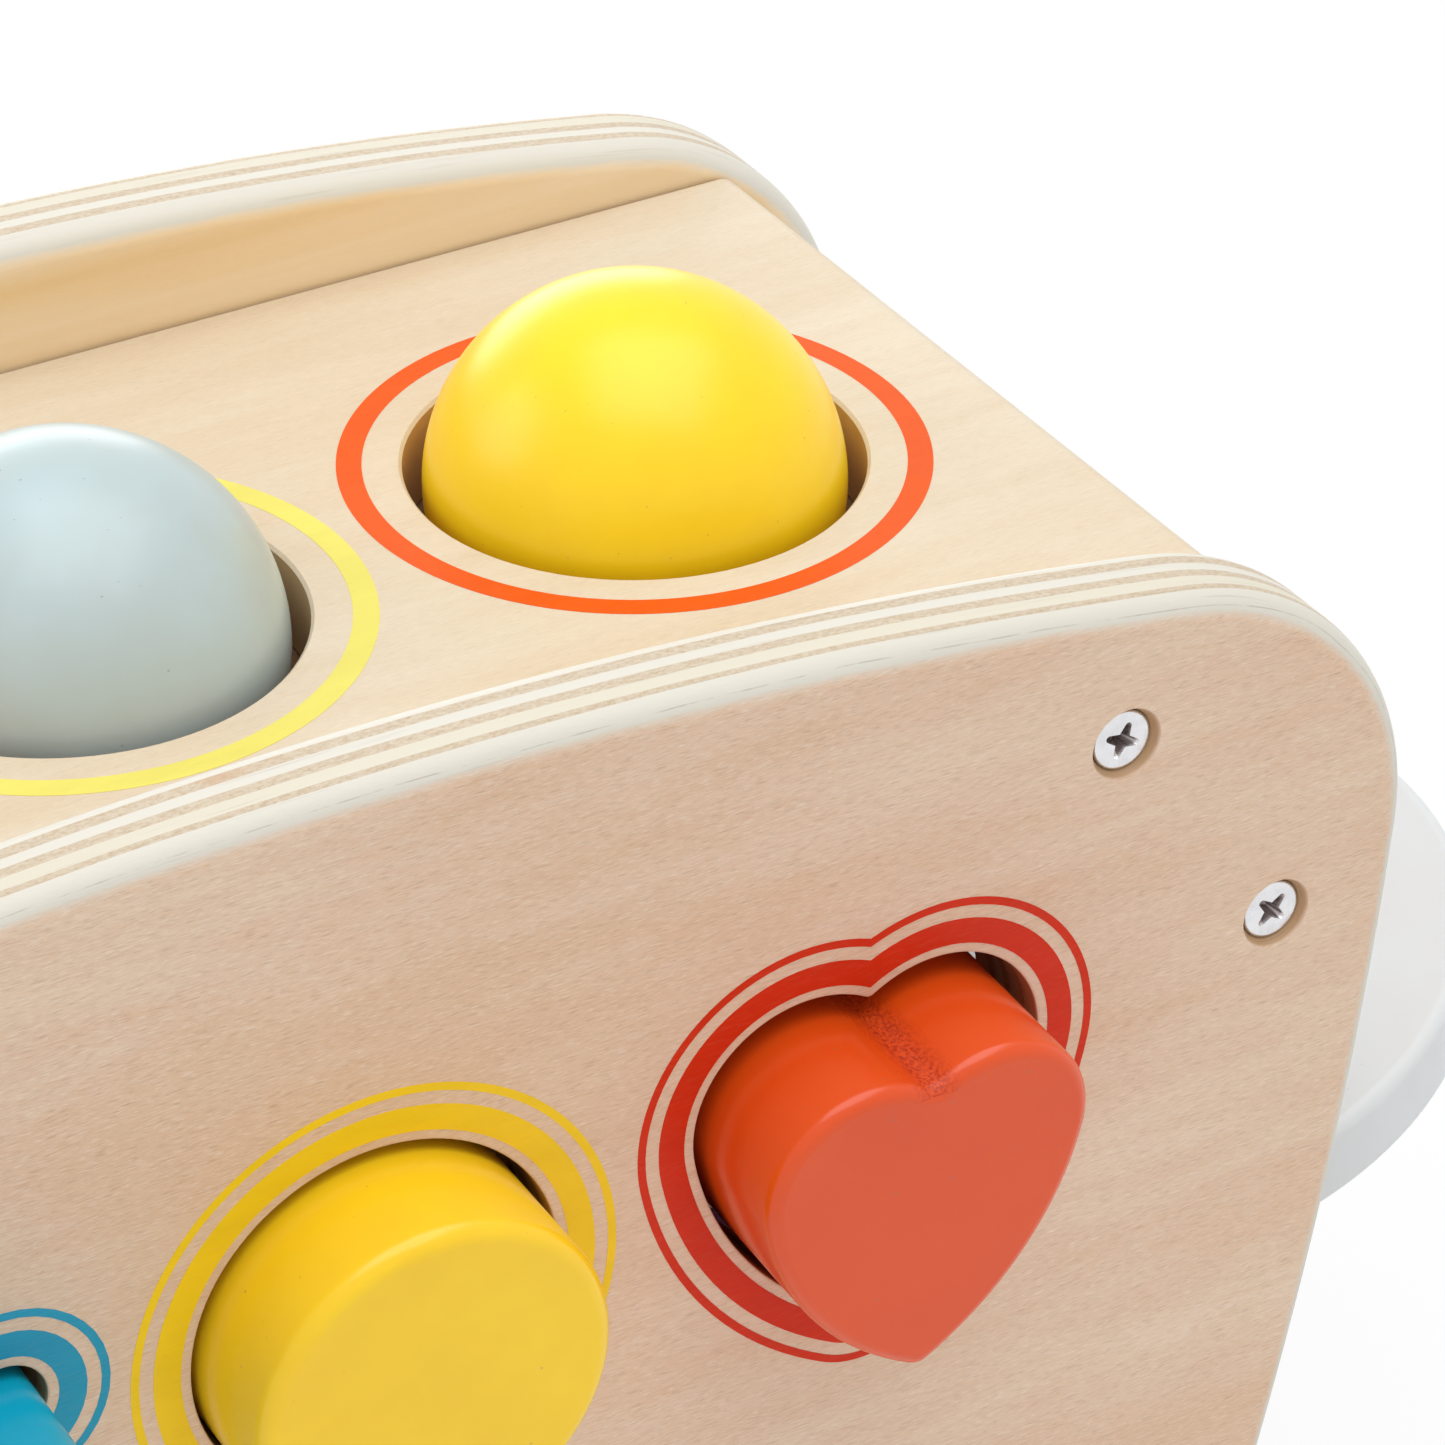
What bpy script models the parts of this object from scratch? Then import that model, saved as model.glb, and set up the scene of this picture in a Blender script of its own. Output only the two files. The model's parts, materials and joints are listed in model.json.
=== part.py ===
"""Wooden pounding bench with a slide-out xylophone.

Two plywood side panels hold a drilled top board between them. Three balls sit in the
board and drop onto the bars of a sloping xylophone, three shaped pegs sit in the front
panel, and the xylophone's board lies on two runners and pulls out at the higher end.
Metres, +Z up, +X along the bench, the pegs face -Y. The origin is the middle of the
object's footprint on the floor.
"""
import math

import bmesh
import bpy
from mathutils import Vector

# Fits and distances shared by all pieces
FIT_GAP = 0.0003
CUT_OVERRUN = 0.002
MERGE_DISTANCE = 0.00001
FLAT_ANGLE = math.radians(0.05)

# Bench
BOARD_HEIGHT = 0.153
INNER_WIDTH = 0.1004

# Side panels
PANEL_THICKNESS = 0.012
PANEL_CREST_RISE = 0.0149
PANEL_HALF_LENGTH = 0.1226
PANEL_CREST_RADIUS = 0.5400
PANEL_SHOULDER_RADIUS = 0.0342
PANEL_SIDE_RADIUS = 0.5462
PANEL_SIDE_LEAN = math.radians(4.9)
PANEL_FOOT_RADIUS = 0.015
PANEL_EDGE_ROUND = 0.0030

# Top board and the holes for the balls
BOARD_LENGTH = 0.2147
BOARD_THICKNESS = 0.015
BOARD_EDGE_ROUND = 0.0025
BALL_PITCH = 0.0656
BALL_HOLE_RADIUS = 0.0245
BALL_RADIUS = 0.0225

# Rubber seat rings under the balls, and the rings that retain them
SEAT_DEPTH = 0.010
SEAT_RECESS_RADIUS = 0.029
SEAT_INNER_RADIUS = 0.0215
SEAT_THICKNESS = 0.002
RETAINER_INNER_RADIUS = 0.0238

# Headers, the cross boards under both ends of the top board
HEADER_X = 0.1064
HEADER_THICKNESS = 0.012
HEADER_HEIGHT = 0.040
HEADER_EDGE_ROUND = 0.001

# Row of shaped holes in the front panel, and the pegs in them
PEG_LENGTH = 0.036
PEG_ROW_DEPTH = 0.047
HEART_X = 0.0569
HEART_PROUD = 0.0120
HEART_CLEARANCE = 0.0015
HEART_DROOP = math.radians(3.0)
HEART_EDGE_ROUND = 0.0016
CIRCLE_X = 0.0012
CIRCLE_RISE = 0.0008
CIRCLE_PROUD = 0.0130
CIRCLE_CLEARANCE = 0.0008
CIRCLE_DROOP = math.radians(1.0)
CIRCLE_EDGE_ROUND = 0.0020
CIRCLE_RADIUS = 0.0200
STAR_X = -0.0561
STAR_PROUD = 0.0125
STAR_CLEARANCE = 0.0009
STAR_DROOP = math.radians(2.0)
STAR_EDGE_ROUND = 0.0012
HEART_LOBE_RADIUS = 0.0129
HEART_LOBE_X = 0.0073
HEART_LOBE_RISE = 0.0079
HEART_FLANK_RADIUS = 0.0370
HEART_FLANK_START = math.radians(10.5)
STAR_TIP_REACH = 0.0190
STAR_TIP_RADIUS = 0.0044
STAR_WAIST_SHARE = 0.456
STAR_POINTS = 5

# Xylophone: a board with round ends on a slope, felt strips, bars and pins
XYLOPHONE_SLOPE = math.radians(11.0)
XYLOPHONE_HEIGHT = 0.0482
BASE_HALF_STRAIGHT = 0.1227
BASE_SIDE_CLEARANCE = 0.0013
BASE_THICKNESS = 0.0096
BASE_EDGE_ROUND = 0.0015
KEY_COUNT = 8
KEY_PITCH = 0.0258
KEY_WIDTH = 0.020
KEY_SIDE_CLEARANCE = 0.0052
KEY_SHORTENING = 0.028
KEY_THICKNESS = 0.0025
KEY_CORNER_RADIUS = 0.003
KEY_NODE_SHARE = 0.224
KEY_HOLE_CLEARANCE = 0.0006
FELT_THICKNESS = 0.005
FELT_WIDTH = 0.008
PIN_HEAD_RADIUS = 0.0032
PIN_HEAD_HEIGHT = 0.0016
PIN_SHANK_RADIUS = 0.0012
PIN_DEPTH = 0.006

# Runners on the panels' inner faces
RUNNER_LENGTH = 0.190
RUNNER_WIDTH = 0.010
RUNNER_HEIGHT = 0.008
RUNNER_EDGE_ROUND = 0.0008

# Screws through the panels
SCREW_HEAD_RADIUS = 0.0034
SCREW_HEAD_HEIGHT = 0.0022
SCREW_RIM_HEIGHT = 0.0004
SCREW_SHANK_RADIUS = 0.0018
SCREW_LENGTH = 0.026
SCREW_SINK = 0.0008
SCREW_TIP_LENGTH = 0.003
SCREW_TIP_RADIUS = 0.0006
SCREW_CROSS_SPAN = 0.0040
SCREW_CROSS_WIDTH = 0.0010
SCREW_CROSS_DEPTH = 0.0013
BOARD_SCREW_X = 0.0866
BOARD_SCREW_DEPTH = 0.0080
HEADER_SCREW_DEPTH = 0.0354
SCREW_TURN = math.radians(34.0)

# Places worked out from the sizes above
PANEL_OUTER_Y = INNER_WIDTH / 2 + PANEL_THICKNESS
PANEL_MIDDLE_Y = (INNER_WIDTH + PANEL_THICKNESS) / 2
CROSS_WIDTH = INNER_WIDTH - 2 * FIT_GAP
PEG_ROW_HEIGHT = BOARD_HEIGHT - PEG_ROW_DEPTH
BASE_END_RADIUS = INNER_WIDTH / 2 - BASE_SIDE_CLEARANCE
KEY_LONGEST = INNER_WIDTH - 2 * KEY_SIDE_CLEARANCE
KEY_SHORTEST = KEY_LONGEST - KEY_SHORTENING
BENCH_Y = CIRCLE_PROUD / 2

# Colours as red, green, blue, then roughness and metallic
FINISHES = {
    "panel_wood": ((0.70, 0.48, 0.31), 0.55, 0.0),
    "board_wood": ((0.87, 0.72, 0.50), 0.55, 0.0),
    "header_wood": ((0.78, 0.60, 0.40), 0.60, 0.0),
    "yellow_paint": ((0.95, 0.66, 0.01), 0.35, 0.0),
    "grey_blue_paint": ((0.55, 0.66, 0.69), 0.35, 0.0),
    "orange_paint": ((0.90, 0.22, 0.04), 0.35, 0.0),
    "red_paint": ((0.80, 0.10, 0.03), 0.35, 0.0),
    "blue_paint": ((0.01, 0.40, 0.60), 0.35, 0.0),
    "white_paint": ((0.80, 0.80, 0.80), 0.40, 0.0),
    "red_enamel": ((0.80, 0.10, 0.03), 0.30, 0.0),
    "orange_enamel": ((0.90, 0.22, 0.04), 0.30, 0.0),
    "yellow_enamel": ((0.95, 0.66, 0.01), 0.30, 0.0),
    "green_enamel": ((0.16, 0.50, 0.12), 0.30, 0.0),
    "grey_blue_enamel": ((0.55, 0.66, 0.69), 0.30, 0.0),
    "blue_enamel": ((0.01, 0.40, 0.60), 0.30, 0.0),
    "purple_enamel": ((0.28, 0.14, 0.45), 0.30, 0.0),
    "felt": ((0.75, 0.74, 0.70), 0.95, 0.0),
    "rubber": ((0.12, 0.12, 0.12), 0.80, 0.0),
    "zinc": ((0.75, 0.75, 0.77), 0.25, 1.0),
}


def clear_scene():
    """Remove the objects that a new file starts with."""
    for item in list(bpy.data.objects):
        bpy.data.objects.remove(item, do_unlink=True)


def new_collection(name):
    """Make a collection in the scene."""
    collection = bpy.data.collections.new(name)
    bpy.context.scene.collection.children.link(collection)
    return collection


def material(slot):
    """Give the material of a finish, made on its first use."""
    found = bpy.data.materials.get(slot)
    if found:
        return found
    colour, roughness, metallic = FINISHES[slot]
    made = bpy.data.materials.new(slot)
    made.use_nodes = True
    shader = made.node_tree.nodes["Principled BSDF"]
    shader.inputs["Base Color"].default_value = (*colour, 1.0)
    shader.inputs["Roughness"].default_value = roughness
    shader.inputs["Metallic"].default_value = metallic
    made.diffuse_color = (*colour, 1.0)
    return made


def empty(name, parent=None, location=(0, 0, 0), turn=(0, 0, 0)):
    """Make a frame that other pieces are placed in."""
    frame = bpy.data.objects.new(name, None)
    PARTS.objects.link(frame)
    frame.parent = parent
    frame.location = location
    frame.rotation_euler = turn
    return frame


def piece(name, mesh, slot, parent, location=(0, 0, 0), turn=(0, 0, 0), smooth=False):
    """Add a mesh as a named piece with its own material."""
    mesh.name = name
    mesh.materials.clear()
    mesh.materials.append(material(slot))
    if smooth:
        mesh.shade_smooth()
        mesh.set_sharp_from_angle(angle=math.radians(35))
    made = bpy.data.objects.new(name, mesh)
    PARTS.objects.link(made)
    made.parent = parent
    made.location = location
    made.rotation_euler = turn
    return made


def cutter(name, mesh, parent, location=(0, 0, 0), turn=(0, 0, 0)):
    """Add a mesh that only cuts other pieces."""
    made = bpy.data.objects.new(name, mesh)
    CUTTERS.objects.link(made)
    made.parent = parent
    made.location = location
    made.rotation_euler = turn
    made.hide_render = True
    made.display_type = "WIRE"
    return made


def cut(target, tool):
    """Take the tool's volume out of the target."""
    step = target.modifiers.new(tool.name, "BOOLEAN")
    step.operation = "DIFFERENCE"
    step.solver = "EXACT"
    step.object = tool


def finished_mesh(work):
    """Turn a bmesh into a mesh with its faces pointing out."""
    bmesh.ops.recalc_face_normals(work, faces=work.faces)
    mesh = bpy.data.meshes.new("mesh")
    work.to_mesh(mesh)
    work.free()
    return mesh


def box_mesh(length, width, height, round_size):
    """A box about its centre, with its edges eased."""
    work = bmesh.new()
    bmesh.ops.create_cube(work, size=1)
    bmesh.ops.scale(work, vec=Vector((length, width, height)), verts=work.verts)
    bmesh.ops.bevel(work, geom=work.edges[:], offset=round_size, segments=1, profile=0.5,
                    affect="EDGES")
    return finished_mesh(work)


def plate_mesh(outlines, thickness, round_size=0.0, middle=0.0):
    """A flat plate from closed outlines, the first its edge and the others its holes.

    A plate without holes gets whole flat faces, so that later cuts leave no slivers.
    """
    curve = bpy.data.curves.new("plate", "CURVE")
    curve.dimensions = "2D"
    curve.fill_mode = "BOTH"
    curve.extrude = thickness / 2 - round_size
    curve.bevel_depth = round_size
    curve.bevel_resolution = 1
    curve.offset = -round_size
    for points in outlines:
        spline = curve.splines.new("POLY")
        spline.points.add(len(points) - 1)
        for point, (x, y) in zip(spline.points, points):
            point.co = (x, y, 0, 1)
        spline.use_cyclic_u = True
    source = bpy.data.objects.new("plate", curve)
    PARTS.objects.link(source)
    graph = bpy.context.evaluated_depsgraph_get()
    mesh = bpy.data.meshes.new_from_object(source.evaluated_get(graph))
    bpy.data.objects.remove(source, do_unlink=True)
    work = bmesh.new()
    work.from_mesh(mesh)
    bpy.data.meshes.remove(mesh)
    bmesh.ops.remove_doubles(work, verts=work.verts, dist=MERGE_DISTANCE)
    if len(outlines) == 1:
        bmesh.ops.dissolve_limit(work, angle_limit=FLAT_ANGLE, verts=work.verts, edges=work.edges)
    bmesh.ops.translate(work, vec=(0, 0, middle), verts=work.verts)
    return finished_mesh(work)


def profile_mesh(points, closed=False):
    """A chain of edges in the XZ plane, for turning about Z."""
    work = bmesh.new()
    corners = [work.verts.new((x, 0, z)) for x, z in points]
    for first, second in zip(corners, corners[1:]):
        work.edges.new((first, second))
    if closed:
        work.edges.new((corners[-1], corners[0]))
    mesh = bpy.data.meshes.new("profile")
    work.to_mesh(mesh)
    work.free()
    return mesh


def turn_about_z(target, steps):
    """Turn a profile into a round body."""
    screw = target.modifiers.new("turned", "SCREW")
    screw.axis = "Z"
    screw.steps = steps
    screw.render_steps = steps
    screw.use_merge_vertices = True
    screw.merge_threshold = MERGE_DISTANCE
    screw.use_smooth_shade = True


def arc(centre, radius, start, end, steps):
    """Points of an arc about a centre, both ends included, angles from +X."""
    angles = [start + (end - start) * k / steps for k in range(steps + 1)]
    return [(centre[0] + radius * math.cos(a), centre[1] + radius * math.sin(a)) for a in angles]


def circle(radius, steps, centre=(0, 0)):
    """Points round a circle."""
    return arc(centre, radius, 0, math.tau * (steps - 1) / steps, steps - 1)


def clockwise(points):
    """The same outline run the other way, as a plate's holes are."""
    return points[::-1]


def mirrored(half):
    """Close an outline from its right half, which starts and ends on the middle line."""
    left = [(-x, y) for x, y in half[::-1] if x > MERGE_DISTANCE]
    return half + left


def panel_outline():
    """Side panel: crested top, round shoulders, bowed sides and round feet, from the floor."""
    crest = (0, BOARD_HEIGHT + PANEL_CREST_RISE - PANEL_CREST_RADIUS)
    shoulder_x = PANEL_HALF_LENGTH - PANEL_SHOULDER_RADIUS
    reach = PANEL_CREST_RADIUS - PANEL_SHOULDER_RADIUS
    shoulder = (shoulder_x, crest[1] + math.sqrt(reach ** 2 - shoulder_x ** 2))
    crest_end = math.acos(shoulder_x / reach)
    side_reach = PANEL_SIDE_RADIUS - PANEL_SHOULDER_RADIUS
    side = (shoulder[0] - side_reach * math.cos(PANEL_SIDE_LEAN),
            shoulder[1] + side_reach * math.sin(PANEL_SIDE_LEAN))
    foot_reach = PANEL_SIDE_RADIUS - PANEL_FOOT_RADIUS
    side_end = math.asin((side[1] - PANEL_FOOT_RADIUS) / foot_reach)
    foot = (side[0] + foot_reach * math.cos(side_end), PANEL_FOOT_RADIUS)
    half = arc(foot, PANEL_FOOT_RADIUS, -math.pi / 2, -side_end, 5)
    half += arc(side, PANEL_SIDE_RADIUS, -side_end, -PANEL_SIDE_LEAN, 7)[1:]
    half += arc(shoulder, PANEL_SHOULDER_RADIUS, -PANEL_SIDE_LEAN, crest_end, 10)[1:]
    half += arc(crest, PANEL_CREST_RADIUS, crest_end, math.pi / 2, 8)[1:]
    return mirrored(half)


def heart_outline(inset):
    """Heart about the row's centre: two lobes and two long flanks that meet in a tip."""
    lobe = (HEART_LOBE_X, HEART_LOBE_RISE)
    lobe_radius = HEART_LOBE_RADIUS - inset
    flank_radius = HEART_FLANK_RADIUS - inset
    between = HEART_FLANK_RADIUS - HEART_LOBE_RADIUS
    flank = (lobe[0] - between * math.cos(HEART_FLANK_START),
             lobe[1] + between * math.sin(HEART_FLANK_START))
    tip = -math.acos(-flank[0] / flank_radius)
    notch = math.pi - math.acos(lobe[0] / lobe_radius)
    half = arc(flank, flank_radius, tip, -HEART_FLANK_START, 8)
    half += arc(lobe, lobe_radius, -HEART_FLANK_START, notch, 12)[1:]
    half[0] = (0, half[0][1])
    half[-1] = (0, half[-1][1])
    return mirrored(half)


def star_outline(inset):
    """Star about the row's centre: a pointed star grown outwards by the tips' radius."""
    radius = STAR_TIP_RADIUS - inset
    waist_reach = STAR_TIP_REACH * STAR_WAIST_SHARE
    half_step = math.pi / STAR_POINTS
    across = waist_reach * math.sin(half_step)
    along = STAR_TIP_REACH - waist_reach * math.cos(half_step)
    lean = math.atan2(across, along)
    waist = waist_reach + radius / math.cos(half_step - lean)
    points = []
    for k in range(STAR_POINTS):
        middle = math.pi / 2 + k * 2 * half_step
        tip = (STAR_TIP_REACH * math.cos(middle), STAR_TIP_REACH * math.sin(middle))
        sweep = math.pi / 2 - lean
        points += arc(tip, radius, middle - sweep, middle + sweep, 6)
        notch = middle + half_step
        points.append((waist * math.cos(notch), waist * math.sin(notch)))
    return points


def circle_outline(inset):
    """Circle about the row's centre."""
    return circle(CIRCLE_RADIUS - inset, 40)


# Each shape: its place, outline, reach out of the panel, clearance, droop, edge and finish
PEG_SHAPES = {
    "heart": (HEART_X, PEG_ROW_HEIGHT, heart_outline, HEART_PROUD, HEART_CLEARANCE,
              HEART_DROOP, HEART_EDGE_ROUND, "red_paint"),
    "circle": (CIRCLE_X, PEG_ROW_HEIGHT + CIRCLE_RISE, circle_outline, CIRCLE_PROUD,
               CIRCLE_CLEARANCE, CIRCLE_DROOP, CIRCLE_EDGE_ROUND, "yellow_paint"),
    "star": (STAR_X, PEG_ROW_HEIGHT, star_outline, STAR_PROUD, STAR_CLEARANCE,
             STAR_DROOP, STAR_EDGE_ROUND, "blue_paint"),
}
FACE_FRONT = (math.pi / 2, 0, 0)
FACE_REAR = (-math.pi / 2, 0, 0)


def screw_profile(grown, above):
    """Half section of a countersunk screw, its head's face at zero, for turning."""
    head = SCREW_HEAD_RADIUS + grown
    shank = SCREW_SHANK_RADIUS + grown
    tip = SCREW_TIP_RADIUS + grown
    rim = -SCREW_RIM_HEIGHT - grown
    neck = -SCREW_HEAD_HEIGHT - grown
    end = -SCREW_LENGTH - grown
    return [(0, above), (head, above), (head, rim), (shank, neck),
            (shank, end + SCREW_TIP_LENGTH), (tip, end), (0, end)]


def cross_outline():
    """Outline of the cross-shaped drive recess."""
    wide = SCREW_CROSS_SPAN / 2
    slim = SCREW_CROSS_WIDTH / 2
    arm = [(wide, -slim), (wide, slim), (slim, slim)]
    points = []
    for k in range(4):
        turn = k * math.pi / 2
        points += [(x * math.cos(turn) - y * math.sin(turn), x * math.sin(turn) + y * math.cos(turn))
                   for x, y in arm]
    return points


def add_screws(bench, carriers):
    """Screws through each panel into the top board and the headers, with their holes."""
    board_z = BOARD_HEIGHT - BOARD_SCREW_DEPTH
    header_z = BOARD_HEIGHT - HEADER_SCREW_DEPTH
    places = [("board_left", -BOARD_SCREW_X, board_z, "top_board"),
              ("board_right", BOARD_SCREW_X, board_z, "top_board"),
              ("header_left", -HEADER_X, header_z, "left_header"),
              ("header_right", HEADER_X, header_z, "right_header")]
    face = PANEL_OUTER_Y - SCREW_SINK
    for side, sign, facing in (("front", -1, FACE_FRONT), ("rear", 1, FACE_REAR)):
        for order, (label, x, z, board) in enumerate(places):
            name = f"screw_{side}_{label}"
            place = (x, sign * face, z)
            screw = piece(name, profile_mesh(screw_profile(0, 0)), "zinc", bench, place, facing)
            turn_about_z(screw, 16)
            drive = cutter(f"{name}_drive", plate_mesh([cross_outline()], 2 * SCREW_CROSS_DEPTH),
                           screw, (0, 0, 0), (0, 0, SCREW_TURN * (order + 1)))
            cut(screw, drive)
            above = SCREW_SINK + CUT_OVERRUN
            hole = cutter(f"{name}_hole", profile_mesh(screw_profile(FIT_GAP, above)), bench,
                          place, facing)
            turn_about_z(hole, 16)
            cut(carriers[f"{side}_panel"], hole)
            cut(carriers[board], hole)


def add_panels(bench):
    """The two side panels, the front one with the shaped holes."""
    panels = {}
    for side, sign in (("front", -1), ("rear", 1)):
        mesh = plate_mesh([panel_outline()], PANEL_THICKNESS, PANEL_EDGE_ROUND)
        name = f"{side}_panel"
        panels[name] = piece(name, mesh, "panel_wood", bench, (0, sign * PANEL_MIDDLE_Y, 0),
                             FACE_FRONT, smooth=True)
    for label, (x, z, outline, _, _, _, _, _) in PEG_SHAPES.items():
        mesh = plate_mesh([outline(0)], PANEL_THICKNESS + 2 * CUT_OVERRUN)
        tool = cutter(f"{label}_hole", mesh, bench, (x, -PANEL_MIDDLE_Y, z), FACE_FRONT)
        cut(panels["front_panel"], tool)
    return panels


def add_pegs(bench):
    """Shaped pegs that lie low in their holes and lean a little forwards."""
    for label, (x, z, outline, proud, clearance, droop, edge, slot) in PEG_SHAPES.items():
        mesh = plate_mesh([outline(clearance)], PEG_LENGTH, edge, proud - PEG_LENGTH / 2)
        sunk = (clearance - FIT_GAP) / math.cos(droop)
        piece(f"{label}_peg", mesh, slot, bench, (x, -PANEL_OUTER_Y, z - sunk),
              (math.pi / 2 + droop, 0, 0), smooth=True)


def add_top_board(bench):
    """Top board with three stepped holes, open below for the seat rings."""
    board = piece("top_board", box_mesh(BOARD_LENGTH, CROSS_WIDTH, BOARD_THICKNESS, BOARD_EDGE_ROUND),
                  "board_wood", bench, (0, 0, BOARD_HEIGHT - BOARD_THICKNESS / 2), smooth=True)
    floor = -BOARD_THICKNESS - CUT_OVERRUN
    section = [(0, CUT_OVERRUN), (BALL_HOLE_RADIUS, CUT_OVERRUN), (BALL_HOLE_RADIUS, -SEAT_DEPTH),
               (SEAT_RECESS_RADIUS, -SEAT_DEPTH), (SEAT_RECESS_RADIUS, floor), (0, floor)]
    for label, x in ball_places():
        tool = cutter(f"{label}_ball_hole", profile_mesh(section), bench, (x, 0, BOARD_HEIGHT))
        turn_about_z(tool, 32)
        cut(board, tool)
    return board


def ball_places():
    """Each ball's side of the bench and its place along it."""
    return [("left", -BALL_PITCH), ("middle", 0), ("right", BALL_PITCH)]


def add_balls(bench):
    """Balls on rubber seat rings, which a glued ring under each one retains."""
    ring_top = -SEAT_DEPTH - FIT_GAP
    ring_bottom = ring_top - SEAT_THICKNESS
    retainer_top = ring_bottom - FIT_GAP
    ring_outer = SEAT_RECESS_RADIUS - FIT_GAP
    seat_drop = math.sqrt((BALL_RADIUS + FIT_GAP) ** 2 - SEAT_INNER_RADIUS ** 2)
    colours = {"left": "orange_paint", "middle": "grey_blue_paint", "right": "yellow_paint"}
    for label, x in ball_places():
        work = bmesh.new()
        bmesh.ops.create_uvsphere(work, u_segments=24, v_segments=12, radius=BALL_RADIUS)
        piece(f"{label}_ball", finished_mesh(work), colours[label], bench,
              (x, 0, BOARD_HEIGHT + ring_top + seat_drop), smooth=True)
        for kind, slot, inner, top, bottom in (
                ("seat_ring", "rubber", SEAT_INNER_RADIUS, ring_top, ring_bottom),
                ("seat_retainer", "header_wood", RETAINER_INNER_RADIUS, retainer_top, -BOARD_THICKNESS)):
            section = [(inner, top), (ring_outer, top), (ring_outer, bottom), (inner, bottom)]
            ring = piece(f"{label}_{kind}", profile_mesh(section, closed=True), slot, bench,
                         (x, 0, BOARD_HEIGHT))
            turn_about_z(ring, 28)


def add_headers(bench):
    """Cross boards that close both ends above the xylophone."""
    headers = {}
    height = BOARD_HEIGHT - BOARD_THICKNESS - FIT_GAP - HEADER_HEIGHT / 2
    for side, sign in (("left", -1), ("right", 1)):
        name = f"{side}_header"
        mesh = box_mesh(HEADER_THICKNESS, CROSS_WIDTH, HEADER_HEIGHT, HEADER_EDGE_ROUND)
        headers[name] = piece(name, mesh, "header_wood", bench, (sign * HEADER_X, 0, height),
                              smooth=True)
    return headers


def add_runners(bench):
    """Sloping strips on the panels' inner faces that carry the xylophone."""
    slope = empty("runner_slope", bench, (0, 0, XYLOPHONE_HEIGHT), (0, -XYLOPHONE_SLOPE, 0))
    height = -BASE_THICKNESS - FIT_GAP - RUNNER_HEIGHT / 2
    reach = INNER_WIDTH / 2 - FIT_GAP - RUNNER_WIDTH / 2
    for side, sign in (("front", -1), ("rear", 1)):
        mesh = box_mesh(RUNNER_LENGTH, RUNNER_WIDTH, RUNNER_HEIGHT, RUNNER_EDGE_ROUND)
        piece(f"{side}_runner", mesh, "header_wood", slope, (0, sign * reach, height), smooth=True)


def key_length(order):
    """Length of a bar, from the longest at the low end to the shortest."""
    share = order / (KEY_COUNT - 1)
    return KEY_LONGEST + (KEY_SHORTEST - KEY_LONGEST) * share


def key_place(order):
    """Place of a bar along the slope."""
    return (order - (KEY_COUNT - 1) / 2) * KEY_PITCH


def key_node(order):
    """Distance from the middle line to a bar's still point, where its pin holds it."""
    return key_length(order) * (0.5 - KEY_NODE_SHARE)


def rounded_bar(width, length, radius):
    """Outline of a bar with round corners, long along Y."""
    wide = width / 2 - radius
    tall = length / 2 - radius
    points = []
    for k, (x, y) in enumerate(((wide, tall), (-wide, tall), (-wide, -tall), (wide, -tall))):
        points += arc((x, y), radius, k * math.pi / 2, (k + 1) * math.pi / 2, 3)
    return points


def base_outline():
    """Outline of the xylophone's board, straight sides and half-round ends."""
    right = arc((BASE_HALF_STRAIGHT, 0), BASE_END_RADIUS, -math.pi / 2, math.pi / 2, 18)
    left = arc((-BASE_HALF_STRAIGHT, 0), BASE_END_RADIUS, math.pi / 2, 3 * math.pi / 2, 18)
    return right + left


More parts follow.
